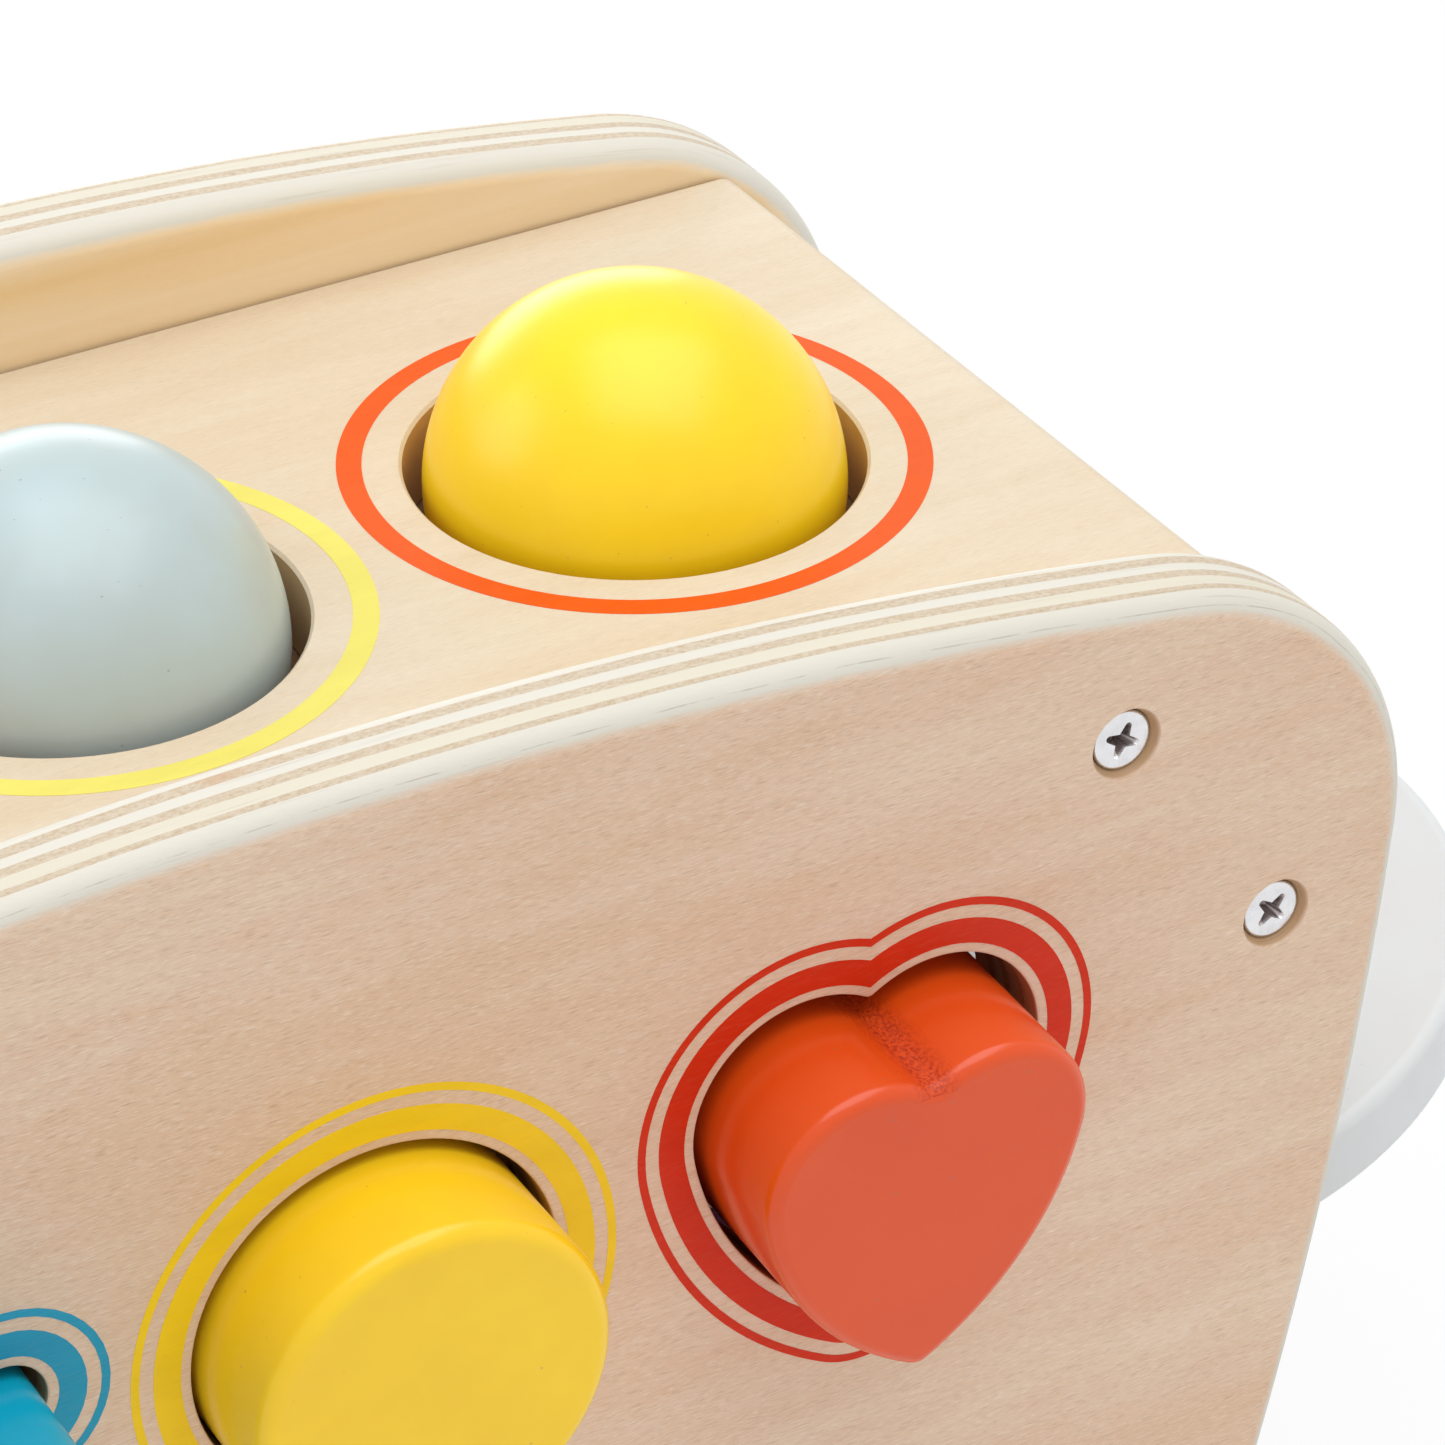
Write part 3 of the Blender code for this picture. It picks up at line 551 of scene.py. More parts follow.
# Each peg: X and Z of its hole, the hole's outline, how far its face stands out, its play in the
# hole, its droop, its rounded edge and its slot
PEGS = {
    "heart": (HEART_X, PEG_ROW_HEIGHT, heart_outline, HEART_PROUD, HEART_CLEARANCE, HEART_DROOP,
              HEART_EDGE_ROUND, "red_paint"),
    "circle": (CIRCLE_X, PEG_ROW_HEIGHT + CIRCLE_RISE,
               circle_outline(CIRCLE_RADIUS, STEPS["circle"]), CIRCLE_PROUD, CIRCLE_CLEARANCE,
               CIRCLE_DROOP, CIRCLE_EDGE_ROUND, "yellow_paint"),
    "star": (STAR_X, PEG_ROW_HEIGHT, star_outline, STAR_PROUD, STAR_CLEARANCE, STAR_DROOP,
             STAR_EDGE_ROUND, "blue_paint"),
}


def eased(outline_of, low, high, edge, steps=STEPS["edge"]):
    """Levels of a plate between two heights, with both its edges rounded over."""
    turns = [QUARTER * k / steps for k in range(steps + 1)]
    bottom = [(edge * (1 - math.sin(t)), low + edge * (1 - math.cos(t))) for t in turns]
    top = [(inset, low + high - height) for inset, height in bottom[::-1]]
    return [(outline_of(inset), height) for inset, height in bottom + top]


def flared(outline_of, low, high, edge):
    """Levels of a hole between two heights, with both its mouths eased."""
    return eased(lambda inset: outline_of(-inset), low, high, edge, STEPS["hole_edge"])


def stacked(levels, holes=()):
    """Close a stack of outlines into a solid, with stacks of outlines as holes through it."""
    work = bmesh.new()
    mouths = ([], [])
    for stack in [levels, *holes]:
        rings = [[work.verts.new((x, y, height)) for x, y in points] for points, height in stack]
        for lower, upper in zip(rings, rings[1:]):
            for k in range(len(lower)):
                work.faces.new((lower[k - 1], lower[k], upper[k], upper[k - 1]))
        mouths[0].append(rings[0])
        mouths[1].append(rings[-1])
    for loops in mouths:
        corners = [corner for loop in loops for corner in loop]
        for triangle in tessellate_polygon([[corner.co for corner in loop] for loop in loops]):
            work.faces.new([corners[k] for k in triangle])
    return work


def turned(section, steps, closed=False):
    """Turn a half section about Z. A section that isn't closed starts and ends on the axis."""
    work = bmesh.new()
    rings = []
    for radius, height in section:
        if radius == 0:
            rings.append([work.verts.new((0, 0, height))] * steps)
        else:
            rings.append([work.verts.new((x, y, height))
                          for x, y in circle_outline(radius, steps)(0)])
    pairs = list(zip(rings, rings[1:]))
    if closed:
        pairs.append((rings[-1], rings[0]))
    for lower, upper in pairs:
        for k in range(steps):
            corners = dict.fromkeys((lower[k - 1], lower[k], upper[k], upper[k - 1]))
            work.faces.new(list(corners))
    return work


def rounded_section(inner, outer, bottom, top, edge):
    """Closed half section of a ring with all four of its edges eased."""
    corners = [(outer - edge, top - edge, 0), (inner + edge, top - edge, 1),
               (inner + edge, bottom + edge, 2), (outer - edge, bottom + edge, 3)]
    points = []
    for x, z, quarter in corners:
        points += arc((x, z), edge, quarter * QUARTER, (quarter + 1) * QUARTER,
                      STEPS["seat_edge"])
    return points


def at(x, y, z, frame=BENCH):
    """A place in a frame."""
    return frame @ Matrix.Translation((x, y, z))


def as_mesh(name, work):
    """Turn a bmesh into a mesh whose faces all look outwards."""
    bmesh.ops.recalc_face_normals(work, faces=work.faces)
    mesh = bpy.data.meshes.new(name)
    work.to_mesh(mesh)
    work.free()
    return mesh


def new_object(name, data):
    """A new object in the scene."""
    made = bpy.data.objects.new(name, data)
    bpy.context.scene.collection.objects.link(made)
    return made


def add(name, work, place, slot, finish, body="bench"):
    """Turn a bmesh into a piece that rides on a body."""
    mesh = as_mesh(name, work)
    mesh.transform(place)
    mesh.materials.append(finish)
    mesh.shade_smooth()
    mesh.set_sharp_from_angle(angle=SMOOTH_ANGLE)
    made = new_object(name, mesh)
    normals = made.modifiers.new("normals", "WEIGHTED_NORMAL")
    normals.keep_sharp = True
    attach(made, body)
    return made


def dress(node, work, place, slot, looks, body="bench", finish=None):
    """Add the piece that stands for a CAD node, in its slot's finish or another one."""
    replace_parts(add(f"{node}_look", work, place, slot, looks[finish or slot], body), node)


class Nodes:
    """The node tree of a material or a world, with short calls for what it needs."""

    def __init__(self, owner):
        owner.use_nodes = True
        self.tree = owner.node_tree

    def add(self, kind, inputs=None, **settings):
        """Add a node, set it up and feed its inputs with numbers or other nodes' outputs."""
        node = self.tree.nodes.new(kind)
        for key, value in settings.items():
            setattr(node, key, value)
        for key, value in (inputs or {}).items():
            self.feed(node.inputs[key], value)
        return node

    def feed(self, socket, value):
        """Set an input or link it."""
        if isinstance(value, bpy.types.NodeSocket):
            self.tree.links.new(value, socket)
        else:
            socket.default_value = value

    def span(self, value, low, high, to_low=0.0, to_high=1.0):
        """Stretch a range of a value to another range."""
        return self.add("ShaderNodeMapRange", {"Value": value, "From Min": low, "From Max": high,
                                               "To Min": to_low, "To Max": to_high}).outputs[0]

    def calc(self, operation, first, second):
        """One step of arithmetic."""
        return self.add("ShaderNodeMath", {0: first, 1: second}, operation=operation).outputs[0]

    def product(self, *values):
        """Values multiplied by each other, such as tests that all have to hold."""
        total = values[0]
        for value in values[1:]:
            total = self.calc("MULTIPLY", total, value)
        return total

    def apart(self, value, middle):
        """How far a value is from a number."""
        return self.calc("ABSOLUTE", self.calc("SUBTRACT", value, middle), 0.0)

    def mix(self, first, second, factor, blend="MIX"):
        """Mix two colours."""
        first, second = [(*c, 1.0) if isinstance(c, tuple) else c for c in (first, second)]
        made = self.add("ShaderNodeMix", {MIX_FACTOR: factor, MIX_FIRST: first,
                                          MIX_SECOND: second}, data_type="RGBA", blend_type=blend)
        return made.outputs[MIX_RESULT]

    def seen_directly(self):
        """One for camera, glossy and transmission rays, zero for the rays that light things."""
        rays = self.add("ShaderNodeLightPath").outputs
        seen = self.calc("MAXIMUM", rays["Is Camera Ray"], rays["Is Glossy Ray"])
        return self.calc("MAXIMUM", seen, rays["Is Transmission Ray"])


class Finish(Nodes):
    """A material under construction. Crosswise, its noises run along Y and not along X."""

    crosswise = False

    def __init__(self, name, **plain):
        self.material = bpy.data.materials.new(name)
        super().__init__(self.material)
        self.shader = self.tree.nodes["Principled BSDF"].inputs
        for socket, value in plain.items():
            self.shader[socket.replace("_", " ")].default_value = value
        self.place = self.add("ShaderNodeTexCoord").outputs["Object"]

    def noise(self, name):
        """One of the noises listed above."""
        scales, octaves, roughness, *shift = NOISES[name]
        if self.crosswise:
            scales = (scales[1], scales[0], scales[2])
        place = self.add("ShaderNodeMapping", {"Vector": self.place, "Scale": scales,
                                               "Location": shift or (0, 0, 0)}).outputs["Vector"]
        made = self.add("ShaderNodeTexNoise", {"Vector": place, "Scale": 1.0, "Detail": octaves,
                                               "Roughness": roughness})
        return made.outputs["Fac"]

    def axes(self):
        """The place on the piece, as its X, Y and Z."""
        return self.add("ShaderNodeSeparateXYZ", {0: self.place}).outputs

    def stain(self, colour, other, where, strength=1.0, blend="MIX"):
        """Change a colour by another, at a strength, where a value says."""
        return self.mix(colour, self.mix(colour, other, strength, blend), where)

    def tint(self, colour, other, where):
        """Multiply a colour by another where a value says."""
        return self.stain(colour, other, where, blend="MULTIPLY")

    def waver(self, colour, share, where):
        """Take a plain colour to a share of itself where a value says."""
        return self.mix(colour, tuple(c * share for c in colour), where)

    def finish(self, colour, roughness, height, depth, strength):
        """Link the colour, the roughness unless it is plain, and a bump to the shader."""
        self.feed(self.shader["Base Color"], colour)
        if roughness is not None:
            self.feed(self.shader["Roughness"], roughness)
        bump = self.add("ShaderNodeBump", {"Height": height, "Distance": depth,
                                           "Strength": strength})
        self.feed(self.shader["Normal"], bump.outputs["Normal"])
        return self.material


def grain(made, pale, warm, contrast):
    """Wood that runs along X: broad patches, soft streaks, fine fibres and small pores."""
    streaks = made.span(made.noise("wood_streak"), *STREAKS, 0.0, STREAK_STRENGTH * contrast)
    fibre = made.noise("wood_fibre")
    pore = made.noise("wood_pore")
    pores = made.span(pore, *PORES, 0.0, PORE_STRENGTH * contrast)
    colour = made.mix(pale, warm, made.span(made.noise("wood_broad"), *BROAD_PATCHES))
    colour = made.mix(colour, warm, streaks)
    colour = made.stain(colour, FIBRE_LIGHT, made.span(fibre, *FIBRES), FIBRE_STRENGTH * contrast)
    colour = made.tint(colour, PORE_TINT, pores)
    height = made.calc("SUBTRACT", fibre, made.span(pore, *PITS))
    return colour, fibre, height


def panel_holes(made, place):
    """One where a cut edge of a panel belongs to its shaped holes and countersinks, which take
    painted shade, zero at its outline.
    """
    across = made.apart(place["X"], 0.0)
    return made.product(made.calc("LESS_THAN", across, HOLE_REACH_X),
                        made.calc("LESS_THAN", place["Z"], HOLE_REACH_Z),
                        made.calc("GREATER_THAN", place["Z"], HOLE_REACH_LOW),
                        made.calc("LESS_THAN", made.calc("ADD", across, place["Z"]),
                                  HOLE_REACH_SUM))


def plywood_edge(made, place, depth):
    """Plies with specks, knots and fine hairs, a broken line of glue under the face, and a browner
    tone in the holes that is partly painted shade.
    """
    wave = made.span(made.noise("ply_waver"), *WIDE, -PLY_WAVER, PLY_WAVER)
    reached = made.calc("ADD", depth, wave)
    plies = made.add("ShaderNodeValToRGB", {0: reached})
    plies.color_ramp.interpolation = "CONSTANT"
    stops = plies.color_ramp.elements
    stops[0].color = (*PLY_SHARES[0][1], 1.0)
    stops.remove(stops[1])
    for (reach, _), (_, colour) in zip(PLY_SHARES, PLY_SHARES[1:]):
        stops.new(reach).color = (*colour, 1.0)
    layers = plies.outputs["Color"]
    blue = made.add("ShaderNodeSeparateColor", {0: layers}).outputs["Blue"]
    tan = made.span(blue, PLY_CREAM[2], PLY_TAN[2])
    specks = made.product(made.span(made.noise("ply_speck"), *HIGH_HALF), tan)
    edge = made.tint(layers, PLY_SPECK_TINT, specks)
    knots = made.product(made.span(made.noise("ply_knot"), *CRESTS), tan)
    edge = made.stain(edge, PLY_KNOT, knots, KNOT_STRENGTH)
    hairs = made.span(made.noise("ply_hair"), *CRESTS)
    edge = made.stain(edge, PLY_LINE, hairs, HAIR_STRENGTH)
    line = made.calc("LESS_THAN", made.apart(reached, GLUE_SHARE), GLUE_HALF_SHARE)
    broken = made.span(made.noise("glue_break"), *BREAKS, 0.0, GLUE_STRENGTH)
    edge = made.mix(edge, PLY_LINE, made.product(line, broken))
    # Holes and countersinks: browner cut wood, partly painted shade where their walls lie in
    # shadow
    return made.tint(edge, CUT_BROWN_AND_SHADE, panel_holes(made, place))


def panel_wood(name, outer_y, inner_y):
    """Plywood with a pinkish face, a yellower inner face whose golden veneer also carries painted
    warm bounce light from the top board, and plies that show at the edges.
    """
    made = Finish(name)
    place = made.axes()
    depth = made.span(place["Y"], outer_y, inner_y)
    face, fibre, height = grain(made, PALE_VENEER, PINK_VENEER, PANEL_CONTRAST)
    # Inner face: real golden streaks over a tone that also holds painted bounce light
    inner = made.mix(INNER_VENEER_AND_BOUNCE, INNER_GOLD, made.span(made.noise("inner_band"), *MIDDLE))
    face = made.stain(face, inner, made.span(depth, *MIDDLE), INNER_STRENGTH)
    from_face = made.calc("MINIMUM", depth, made.calc("SUBTRACT", 1.0, depth))
    fray = made.span(made.noise("edge_fray"), *WIDE, -EDGE_FRAY, EDGE_FRAY)
    bare = made.span(made.calc("ADD", from_face, fray), *BARE_SHARES)
    colour = made.mix(face, plywood_edge(made, place, depth), bare)
    height = made.product(height, made.span(depth, *MIDDLE, 1.0, INNER_RELIEF))
    return made.finish(colour, made.span(fibre, *WIDE, *PANEL_ROUGHNESS), height, *PANEL_BUMP)


def plain_wood(name, pale, warm, face_z=None, crosswise=False):
    """Solid or veneered wood of one tone, with painted warm bounce light and shade in the holes
    below a face at a height.
    """
    made = Finish(name)
    made.crosswise = crosswise
    colour, fibre, height = grain(made, pale, warm, PLAIN_CONTRAST)
    if face_z is not None:
        place = made.axes()
        below = made.calc("LESS_THAN", place["Z"], face_z - HOLE_EDGE)
        across = made.calc("LESS_THAN", made.apart(place["X"], 0.0), HOLE_SPAN_X)
        # Below the top face and within the holes' span: painted warm bounce light and shade
        colour = made.tint(colour, HOLE_BOUNCE_SHADE, made.product(below, across))
    return made.finish(colour, made.span(fibre, *WIDE, *WOOD_ROUGHNESS), height, *WOOD_BUMP)


def paint(name, colour, roughness, waver=PAINT_WAVER, flecks=PAINT_FLECKS, crease=None):
    """Sprayed paint on wood: a soft waver, an orange-peel skin and a few tiny specks.

    A crease gives the X, and the Z above which bare end grain roughens the paint.
    """
    made = Finish(name, IOR=PAINT_IOR)
    cloud = made.noise("paint_cloud")
    deeper = tuple(c * (1 - waver) ** (1 + k) for k, c in enumerate(colour))
    shade = made.mix(colour, deeper, made.span(cloud, *CLOUDS))
    specks = made.span(made.noise("paint_speck"), *SPECKS)
    shade = made.stain(shade, SPECK_BROWN, specks, flecks)
    rough = made.span(cloud, *CLOUDS, roughness - ROUGHNESS_WAVER, roughness + ROUGHNESS_WAVER)
    height = made.calc("ADD", made.noise("paint_skin"),
                       made.product(made.noise("paint_wood"), PAINT_WOOD_RELIEF))
    if crease:
        place = made.axes()
        inside = made.product(made.span(made.apart(place["X"], crease[0]), CREASE_HALF_WIDTH,
                                        CREASE_CORE),
                              made.calc("GREATER_THAN", place["Z"], crease[1]))
        pit = made.product(made.span(made.noise("crease_pit"), *CREASE_PITS), inside)
        shade = made.tint(shade, CREASE_TINT, pit)
        height = made.calc("SUBTRACT", height, made.product(pit, CREASE_RELIEF))
        rough = made.calc("ADD", rough, made.product(inside, CREASE_ROUGHNESS))
    return made.finish(shade, rough, height, *PAINT_BUMP)


def print_film(name, colour):
    """Printed ring: a thin film that follows the wood's fibres and pores."""
    made = Finish(name, Specular_IOR_Level=PRINT_SPECULAR)
    fibre = made.noise("print_fibre")
    pore = made.noise("print_pore")
    shade = made.waver(colour, PRINT_SHADE, made.span(made.noise("print_cloud"), *HIGH_HALF))
    shade = made.stain(shade, PALE_VENEER, made.span(fibre, *PRINT_FIBRES), PRINT_FIBRE_STRENGTH)
    shade = made.tint(shade, PRINT_PORE_TINT,
                      made.span(pore, *PRINT_PORES, 0.0, PRINT_PORE_STRENGTH))
    height = made.calc("SUBTRACT", fibre, made.span(pore, *PITS))
    return made.finish(shade, made.span(fibre, *WIDE, *PRINT_ROUGHNESS), height, *WOOD_BUMP)


def metal(name, colour, roughness, face_y=None):
    """Bright plated steel with faint turning marks, and painted shade inside a screw's recess and
    on its rim.
    """
    made = Finish(name, Metallic=1.0)
    scratch = made.noise("metal_scratch")
    shade = made.waver(colour, METAL_SHADE, made.span(made.noise("metal_cloud"), *HIGH_HALF))
    if face_y is not None:
        away = made.apart(made.axes()["Y"], BENCH_Y)
        # Below the head's flat face, in the recess and on the rim: painted shade
        shade = made.mix(RECESS_SHADE, shade, made.span(away, face_y - SCREW_BEVEL, face_y - SCREW_FLAT))
    rough = made.span(scratch, *WIDE, roughness - SCRATCH_SMOOTHER, roughness + SCRATCH_ROUGHER)
    return made.finish(shade, rough, scratch, *METAL_BUMP)


def enamel(name, colour):
    """Baked enamel on a metal bar: smooth, with a faint waver."""
    made = Finish(name, Coat_Weight=ENAMEL_COAT, Coat_Roughness=ENAMEL_COAT_ROUGHNESS)
    skin = made.noise("enamel_skin")
    shade = made.waver(colour, ENAMEL_SHADE, made.span(made.noise("enamel_cloud"), *CLOUDS))
    return made.finish(shade, made.span(skin, *WIDE, *ENAMEL_ROUGHNESS), skin, *ENAMEL_BUMP)


def felt():
    """Pressed felt: matted fibres of two greys with a light fuzz."""
    made = Finish("felt_look", Roughness=FELT_ROUGHNESS, Sheen_Weight=FELT_SHEEN)
    matted = made.noise("felt_matted")
    strand = made.noise("felt_strand")
    shade = made.mix(FELT_PALE, FELT_DARK, made.span(matted, *CLOUDS))
    shade = made.mix(shade, FELT_FUZZ, made.span(strand, *FUZZ, 0.0, FUZZ_STRENGTH))
    return made.finish(shade, None, made.calc("ADD", matted, strand), *FELT_BUMP)


def rubber():
    """Dull brown gum rubber with a dusty skin."""
    made = Finish("rubber_look")
    dust = made.noise("rubber_dust")
    shade = made.waver(GUM_BROWN, RUBBER_SHADE, made.span(dust, *HIGH_HALF))
    return made.finish(shade, made.span(dust, *WIDE, *RUBBER_ROUGHNESS), dust, *RUBBER_BUMP)


def print_ring(name, outline_of, reach, place, slot, finish):
    """A printed ring between two distances out from a hole's edge, proud by a paint film."""
    hole, levels = [[(outline_of(-out), height) for height in (-PRINT_DEPTH, PRINT_PROUD)]
                    for out in reach]
    add(name, stacked(levels, [hole]), place, slot, finish)


def screw_places():
    """Where the screws go through a panel: label, X and Z."""
    return [(f"{label}_{end}", sign * x, BOARD_HEIGHT - depth)
            for label, x, depth in (("board", BOARD_SCREW_X, BOARD_SCREW_DEPTH),
                                    ("header", HEADER_X, HEADER_SCREW_DEPTH))
            for end, sign in ENDS]


def add_panels(looks):
    """Both side panels, with shaped holes in the front one and countersinks in both."""
    half = PANEL_THICKNESS / 2
    for side, sign in SIDES:
        holes = []
        for _, x, z in screw_places():
            stack = []
            for radius, depth in ((SINK_MOUTH_RADIUS, 0), (SINK_HOLE_RADIUS, SCREW_SINK),
                                  (SINK_SHANK_RADIUS, SINK_NECK_DEPTH),
                                  (SINK_SHANK_RADIUS, PANEL_THICKNESS)):
                round_hole = circle_outline(radius, STEPS["countersink"], (x, z))
                stack.append((round_hole(0), -sign * (half - depth)))
            holes.append(stack if sign > 0 else stack[::-1])
        if side == "front":
            holes += [flared(about(outline_of, x, z), -half, half, HOLE_EDGE)
                      for x, z, outline_of, *_ in PEGS.values()]
        levels = eased(offset(panel_points()), -half, half, PANEL_EDGE, STEPS["panel_edge"])
        name = f"{side}_panel"
        place = at(0, sign * PANEL_MIDDLE_Y, 0) @ FACE_FRONT
        dress(name, stacked(levels, holes), place, "panel_wood", looks, finish=name)


def add_pegs(looks):
    """Shaped pegs and the two printed rings round each of their holes."""
    for label, (x, z, outline_of, proud, clearance, droop, edge, slot) in PEGS.items():
        drop = (clearance - FIT_GAP) / math.cos(droop)
        tilt = Matrix.Rotation(QUARTER + droop, 4, "X")
        levels = eased(taken_in(outline_of, clearance), proud - PEG_LENGTH, proud, edge,
                       STEPS["peg_edge"])
        name = f"{label}_peg"
        dress(name, stacked(levels), at(x, -PANEL_OUTER_Y, z - drop) @ tilt, slot, looks,
              name, name)
        face = at(x, -PANEL_OUTER_Y, z) @ FACE_FRONT
        for kind, reach in (("band", FRONT_BAND), ("line", FRONT_LINE)):
            print_ring(f"{label}_ring_{kind}", outline_of, reach, face, slot, looks[label])


def add_top_board(looks):
    """Top board with three stepped holes, rounded over at its ends only."""
    def outline_of(inset):
        ease = min(inset, BOARD_SIDE_EASE)
        return [(x * (BOARD_LENGTH / 2 - inset), y * (INNER_WIDTH / 2 - FIT_GAP - ease))
                for x, y in ((1, -1), (1, 1), (-1, 1), (-1, -1))]
    holes = []
    for x in (-BALL_PITCH, 0, BALL_PITCH):
        wide = circle_outline(SEAT_RECESS_RADIUS, STEPS["ball_hole"], (x, 0))
        slim = circle_outline(BALL_HOLE_RADIUS, STEPS["ball_hole"], (x, 0))
        holes.append([(wide(0), -BOARD_THICKNESS), (wide(0), -SEAT_DEPTH), (slim(0), -SEAT_DEPTH),
                      (slim(0), -HOLE_EDGE), (slim(-HOLE_EDGE), 0)])
    levels = eased(outline_of, -BOARD_THICKNESS, 0, BOARD_EDGE, STEPS["board_edge"])
    dress("top_board", stacked(levels, holes), at(0, 0, BOARD_HEIGHT), "board_wood", looks)


def ball_mesh(seed):
    """A ball whose surface wavers a little inwards, as turned and painted wood does."""
    work = bmesh.new()
    bmesh.ops.create_icosphere(work, subdivisions=BALL_SUBDIVISIONS, radius=BALL_RADIUS)
    for corner in work.verts:
        place = corner.co / BALL_WAVE + Vector((seed, seed, seed))
        wave = 0.5 + 0.5 * noise.noise(place)
        corner.co *= 1 - max(wave, 0) * BALL_UNEVENNESS / BALL_RADIUS
    return work


def add_balls(looks):
    """Balls, rubber seat rings, wooden retainers and the printed ring round each hole."""
    ring_top = -SEAT_DEPTH - FIT_GAP
    ring_bottom = ring_top - SEAT_THICKNESS
    outer = SEAT_RECESS_RADIUS - FIT_GAP
    seat_drop = math.sqrt((BALL_RADIUS + FIT_GAP) ** 2 - SEAT_INNER_RADIUS ** 2)
    balls = (("left", -BALL_PITCH, "orange_paint", "yellow_paint", "lemon"),
             ("middle", 0, "grey_blue_paint", "yellow_paint", "lemon"),
             ("right", BALL_PITCH, "yellow_paint", "orange_paint", "orange_ring"))
    for order, (label, x, slot, ring_slot, ring_finish) in enumerate(balls):
        board = at(x, 0, BOARD_HEIGHT)
        dress(f"{label}_ball", ball_mesh(order + 1), at(0, 0, ring_top + seat_drop, board), slot,
              looks, f"{label}_ball")
        seat = rounded_section(SEAT_INNER_RADIUS, outer, ring_bottom, ring_top, SEAT_EDGE)
        dress(f"{label}_seat_ring", turned(seat, STEPS["seat_ring"], True), board, "rubber", looks)
        retainer = rounded_section(RETAINER_INNER_RADIUS, outer, -BOARD_THICKNESS,
                                   ring_bottom - FIT_GAP, SEAT_EDGE)
        dress(f"{label}_seat_retainer", turned(retainer, STEPS["seat_ring"], True), board,
              "header_wood", looks)
        hole = circle_outline(BALL_HOLE_RADIUS, STEPS["ball_ring"])
        print_ring(f"{label}_ball_ring", hole, TOP_RING, board, ring_slot, looks[ring_finish])


def add_crosspieces(looks):
    """Headers under the ends of the top board and the runners under the xylophone."""
    low = BOARD_HEIGHT - BOARD_THICKNESS - FIT_GAP - HEADER_HEIGHT
    header = eased(box_outline(HEADER_THICKNESS, INNER_WIDTH - 2 * FIT_GAP), low,
                   low + HEADER_HEIGHT, HEADER_EDGE)
    for side, sign in ENDS:
        dress(f"{side}_header", stacked(header), at(sign * HEADER_X, 0, 0), "header_wood",
              looks, finish="headers")
    top = -BASE_THICKNESS - FIT_GAP
    reach = INNER_WIDTH / 2 - FIT_GAP - RUNNER_WIDTH / 2
    runner = eased(box_outline(RUNNER_LENGTH, RUNNER_WIDTH), top - RUNNER_HEIGHT, top,
                   RUNNER_EDGE)
    for side, sign in SIDES:
        dress(f"{side}_runner", stacked(runner), at(0, sign * reach, 0, SLOPING), "header_wood",
              looks)


def key_length(order):
    """Length of a bar, from the longest at the low end to the shortest."""
    return KEY_LONGEST + (KEY_SHORTEST - KEY_LONGEST) * order / (KEY_COUNT - 1)


def key_place(order):
    """Place of a bar along the slope."""
    return (order - (KEY_COUNT - 1) / 2) * KEY_PITCH


def key_node(order):
    """Distance from the middle line to the pin that holds a bar."""
    return key_length(order) * (0.5 - KEY_NODE_SHARE)


def felt_outline(sign):
    """A felt strip under the bars' pins, running with their taper."""
    start = key_place(0) - KEY_WIDTH / 2
    end = key_place(KEY_COUNT - 1) + KEY_WIDTH / 2
    rise = (key_node(KEY_COUNT - 1) - key_node(0)) / (key_place(KEY_COUNT - 1) - key_place(0))
    start_y = sign * (key_node(0) - rise * KEY_WIDTH / 2)
    end_y = sign * (key_node(KEY_COUNT - 1) + rise * KEY_WIDTH / 2)
    half = FELT_WIDTH / 2
    return offset([(start, start_y - half), (end, end_y - half),
                   (end, end_y + half), (start, start_y + half)])


def add_xylophone(looks):
    """The white board, felt strips, enamelled bars and the pins that hold them."""
    levels = eased(offset(base_points()), -BASE_THICKNESS, 0, BASE_EDGE, STEPS["base_edge"])
    dress("xylophone_base", stacked(levels), SLOPING, "white_paint", looks, "xylophone")
    key_low = 2 * FIT_GAP + FELT_THICKNESS
    key_top = key_low + KEY_THICKNESS
    head_low = key_top + FIT_GAP
    enamels = list(ENAMELS)
    dome = arc((0, 0), 1, 0, QUARTER, STEPS["pin_dome"])
    section = [(PIN_HEAD_RADIUS * x, head_low + PIN_HEAD_HEIGHT * z) for x, z in dome[:-1]]
    section = [(0, -PIN_DEPTH), (PIN_SHANK_RADIUS, -PIN_DEPTH), (PIN_SHANK_RADIUS, head_low),
               *section, (0, head_low + PIN_HEAD_HEIGHT)]
    for order in range(KEY_COUNT):
        slot = enamels[order % len(enamels)]
        place = at(key_place(order), 0, 0, SLOPING)
        hole = circle_outline(KEY_HOLE_RADIUS, STEPS["bar_hole"])
        holes = [flared(about(hole, 0, sign * key_node(order)), key_low, key_top, KEY_EDGE)
                 for _, sign in SIDES]
        levels = eased(bar_outline(KEY_WIDTH, key_length(order), KEY_CORNER), key_low, key_top,
                       KEY_EDGE)
        dress(f"key_{order + 1}", stacked(levels, holes), place, slot, looks, "xylophone")
        for side, sign in SIDES:
            dress(f"key_pin_{side}_{order + 1}", turned(section, STEPS["pin"]),
                  at(0, sign * key_node(order), 0, place), "zinc", looks, "xylophone")
    for side, sign in SIDES:
        levels = eased(felt_outline(sign), FIT_GAP, FIT_GAP + FELT_THICKNESS, FELT_EDGE)
        dress(f"{side}_felt", stacked(levels), SLOPING, "felt", looks, "xylophone")


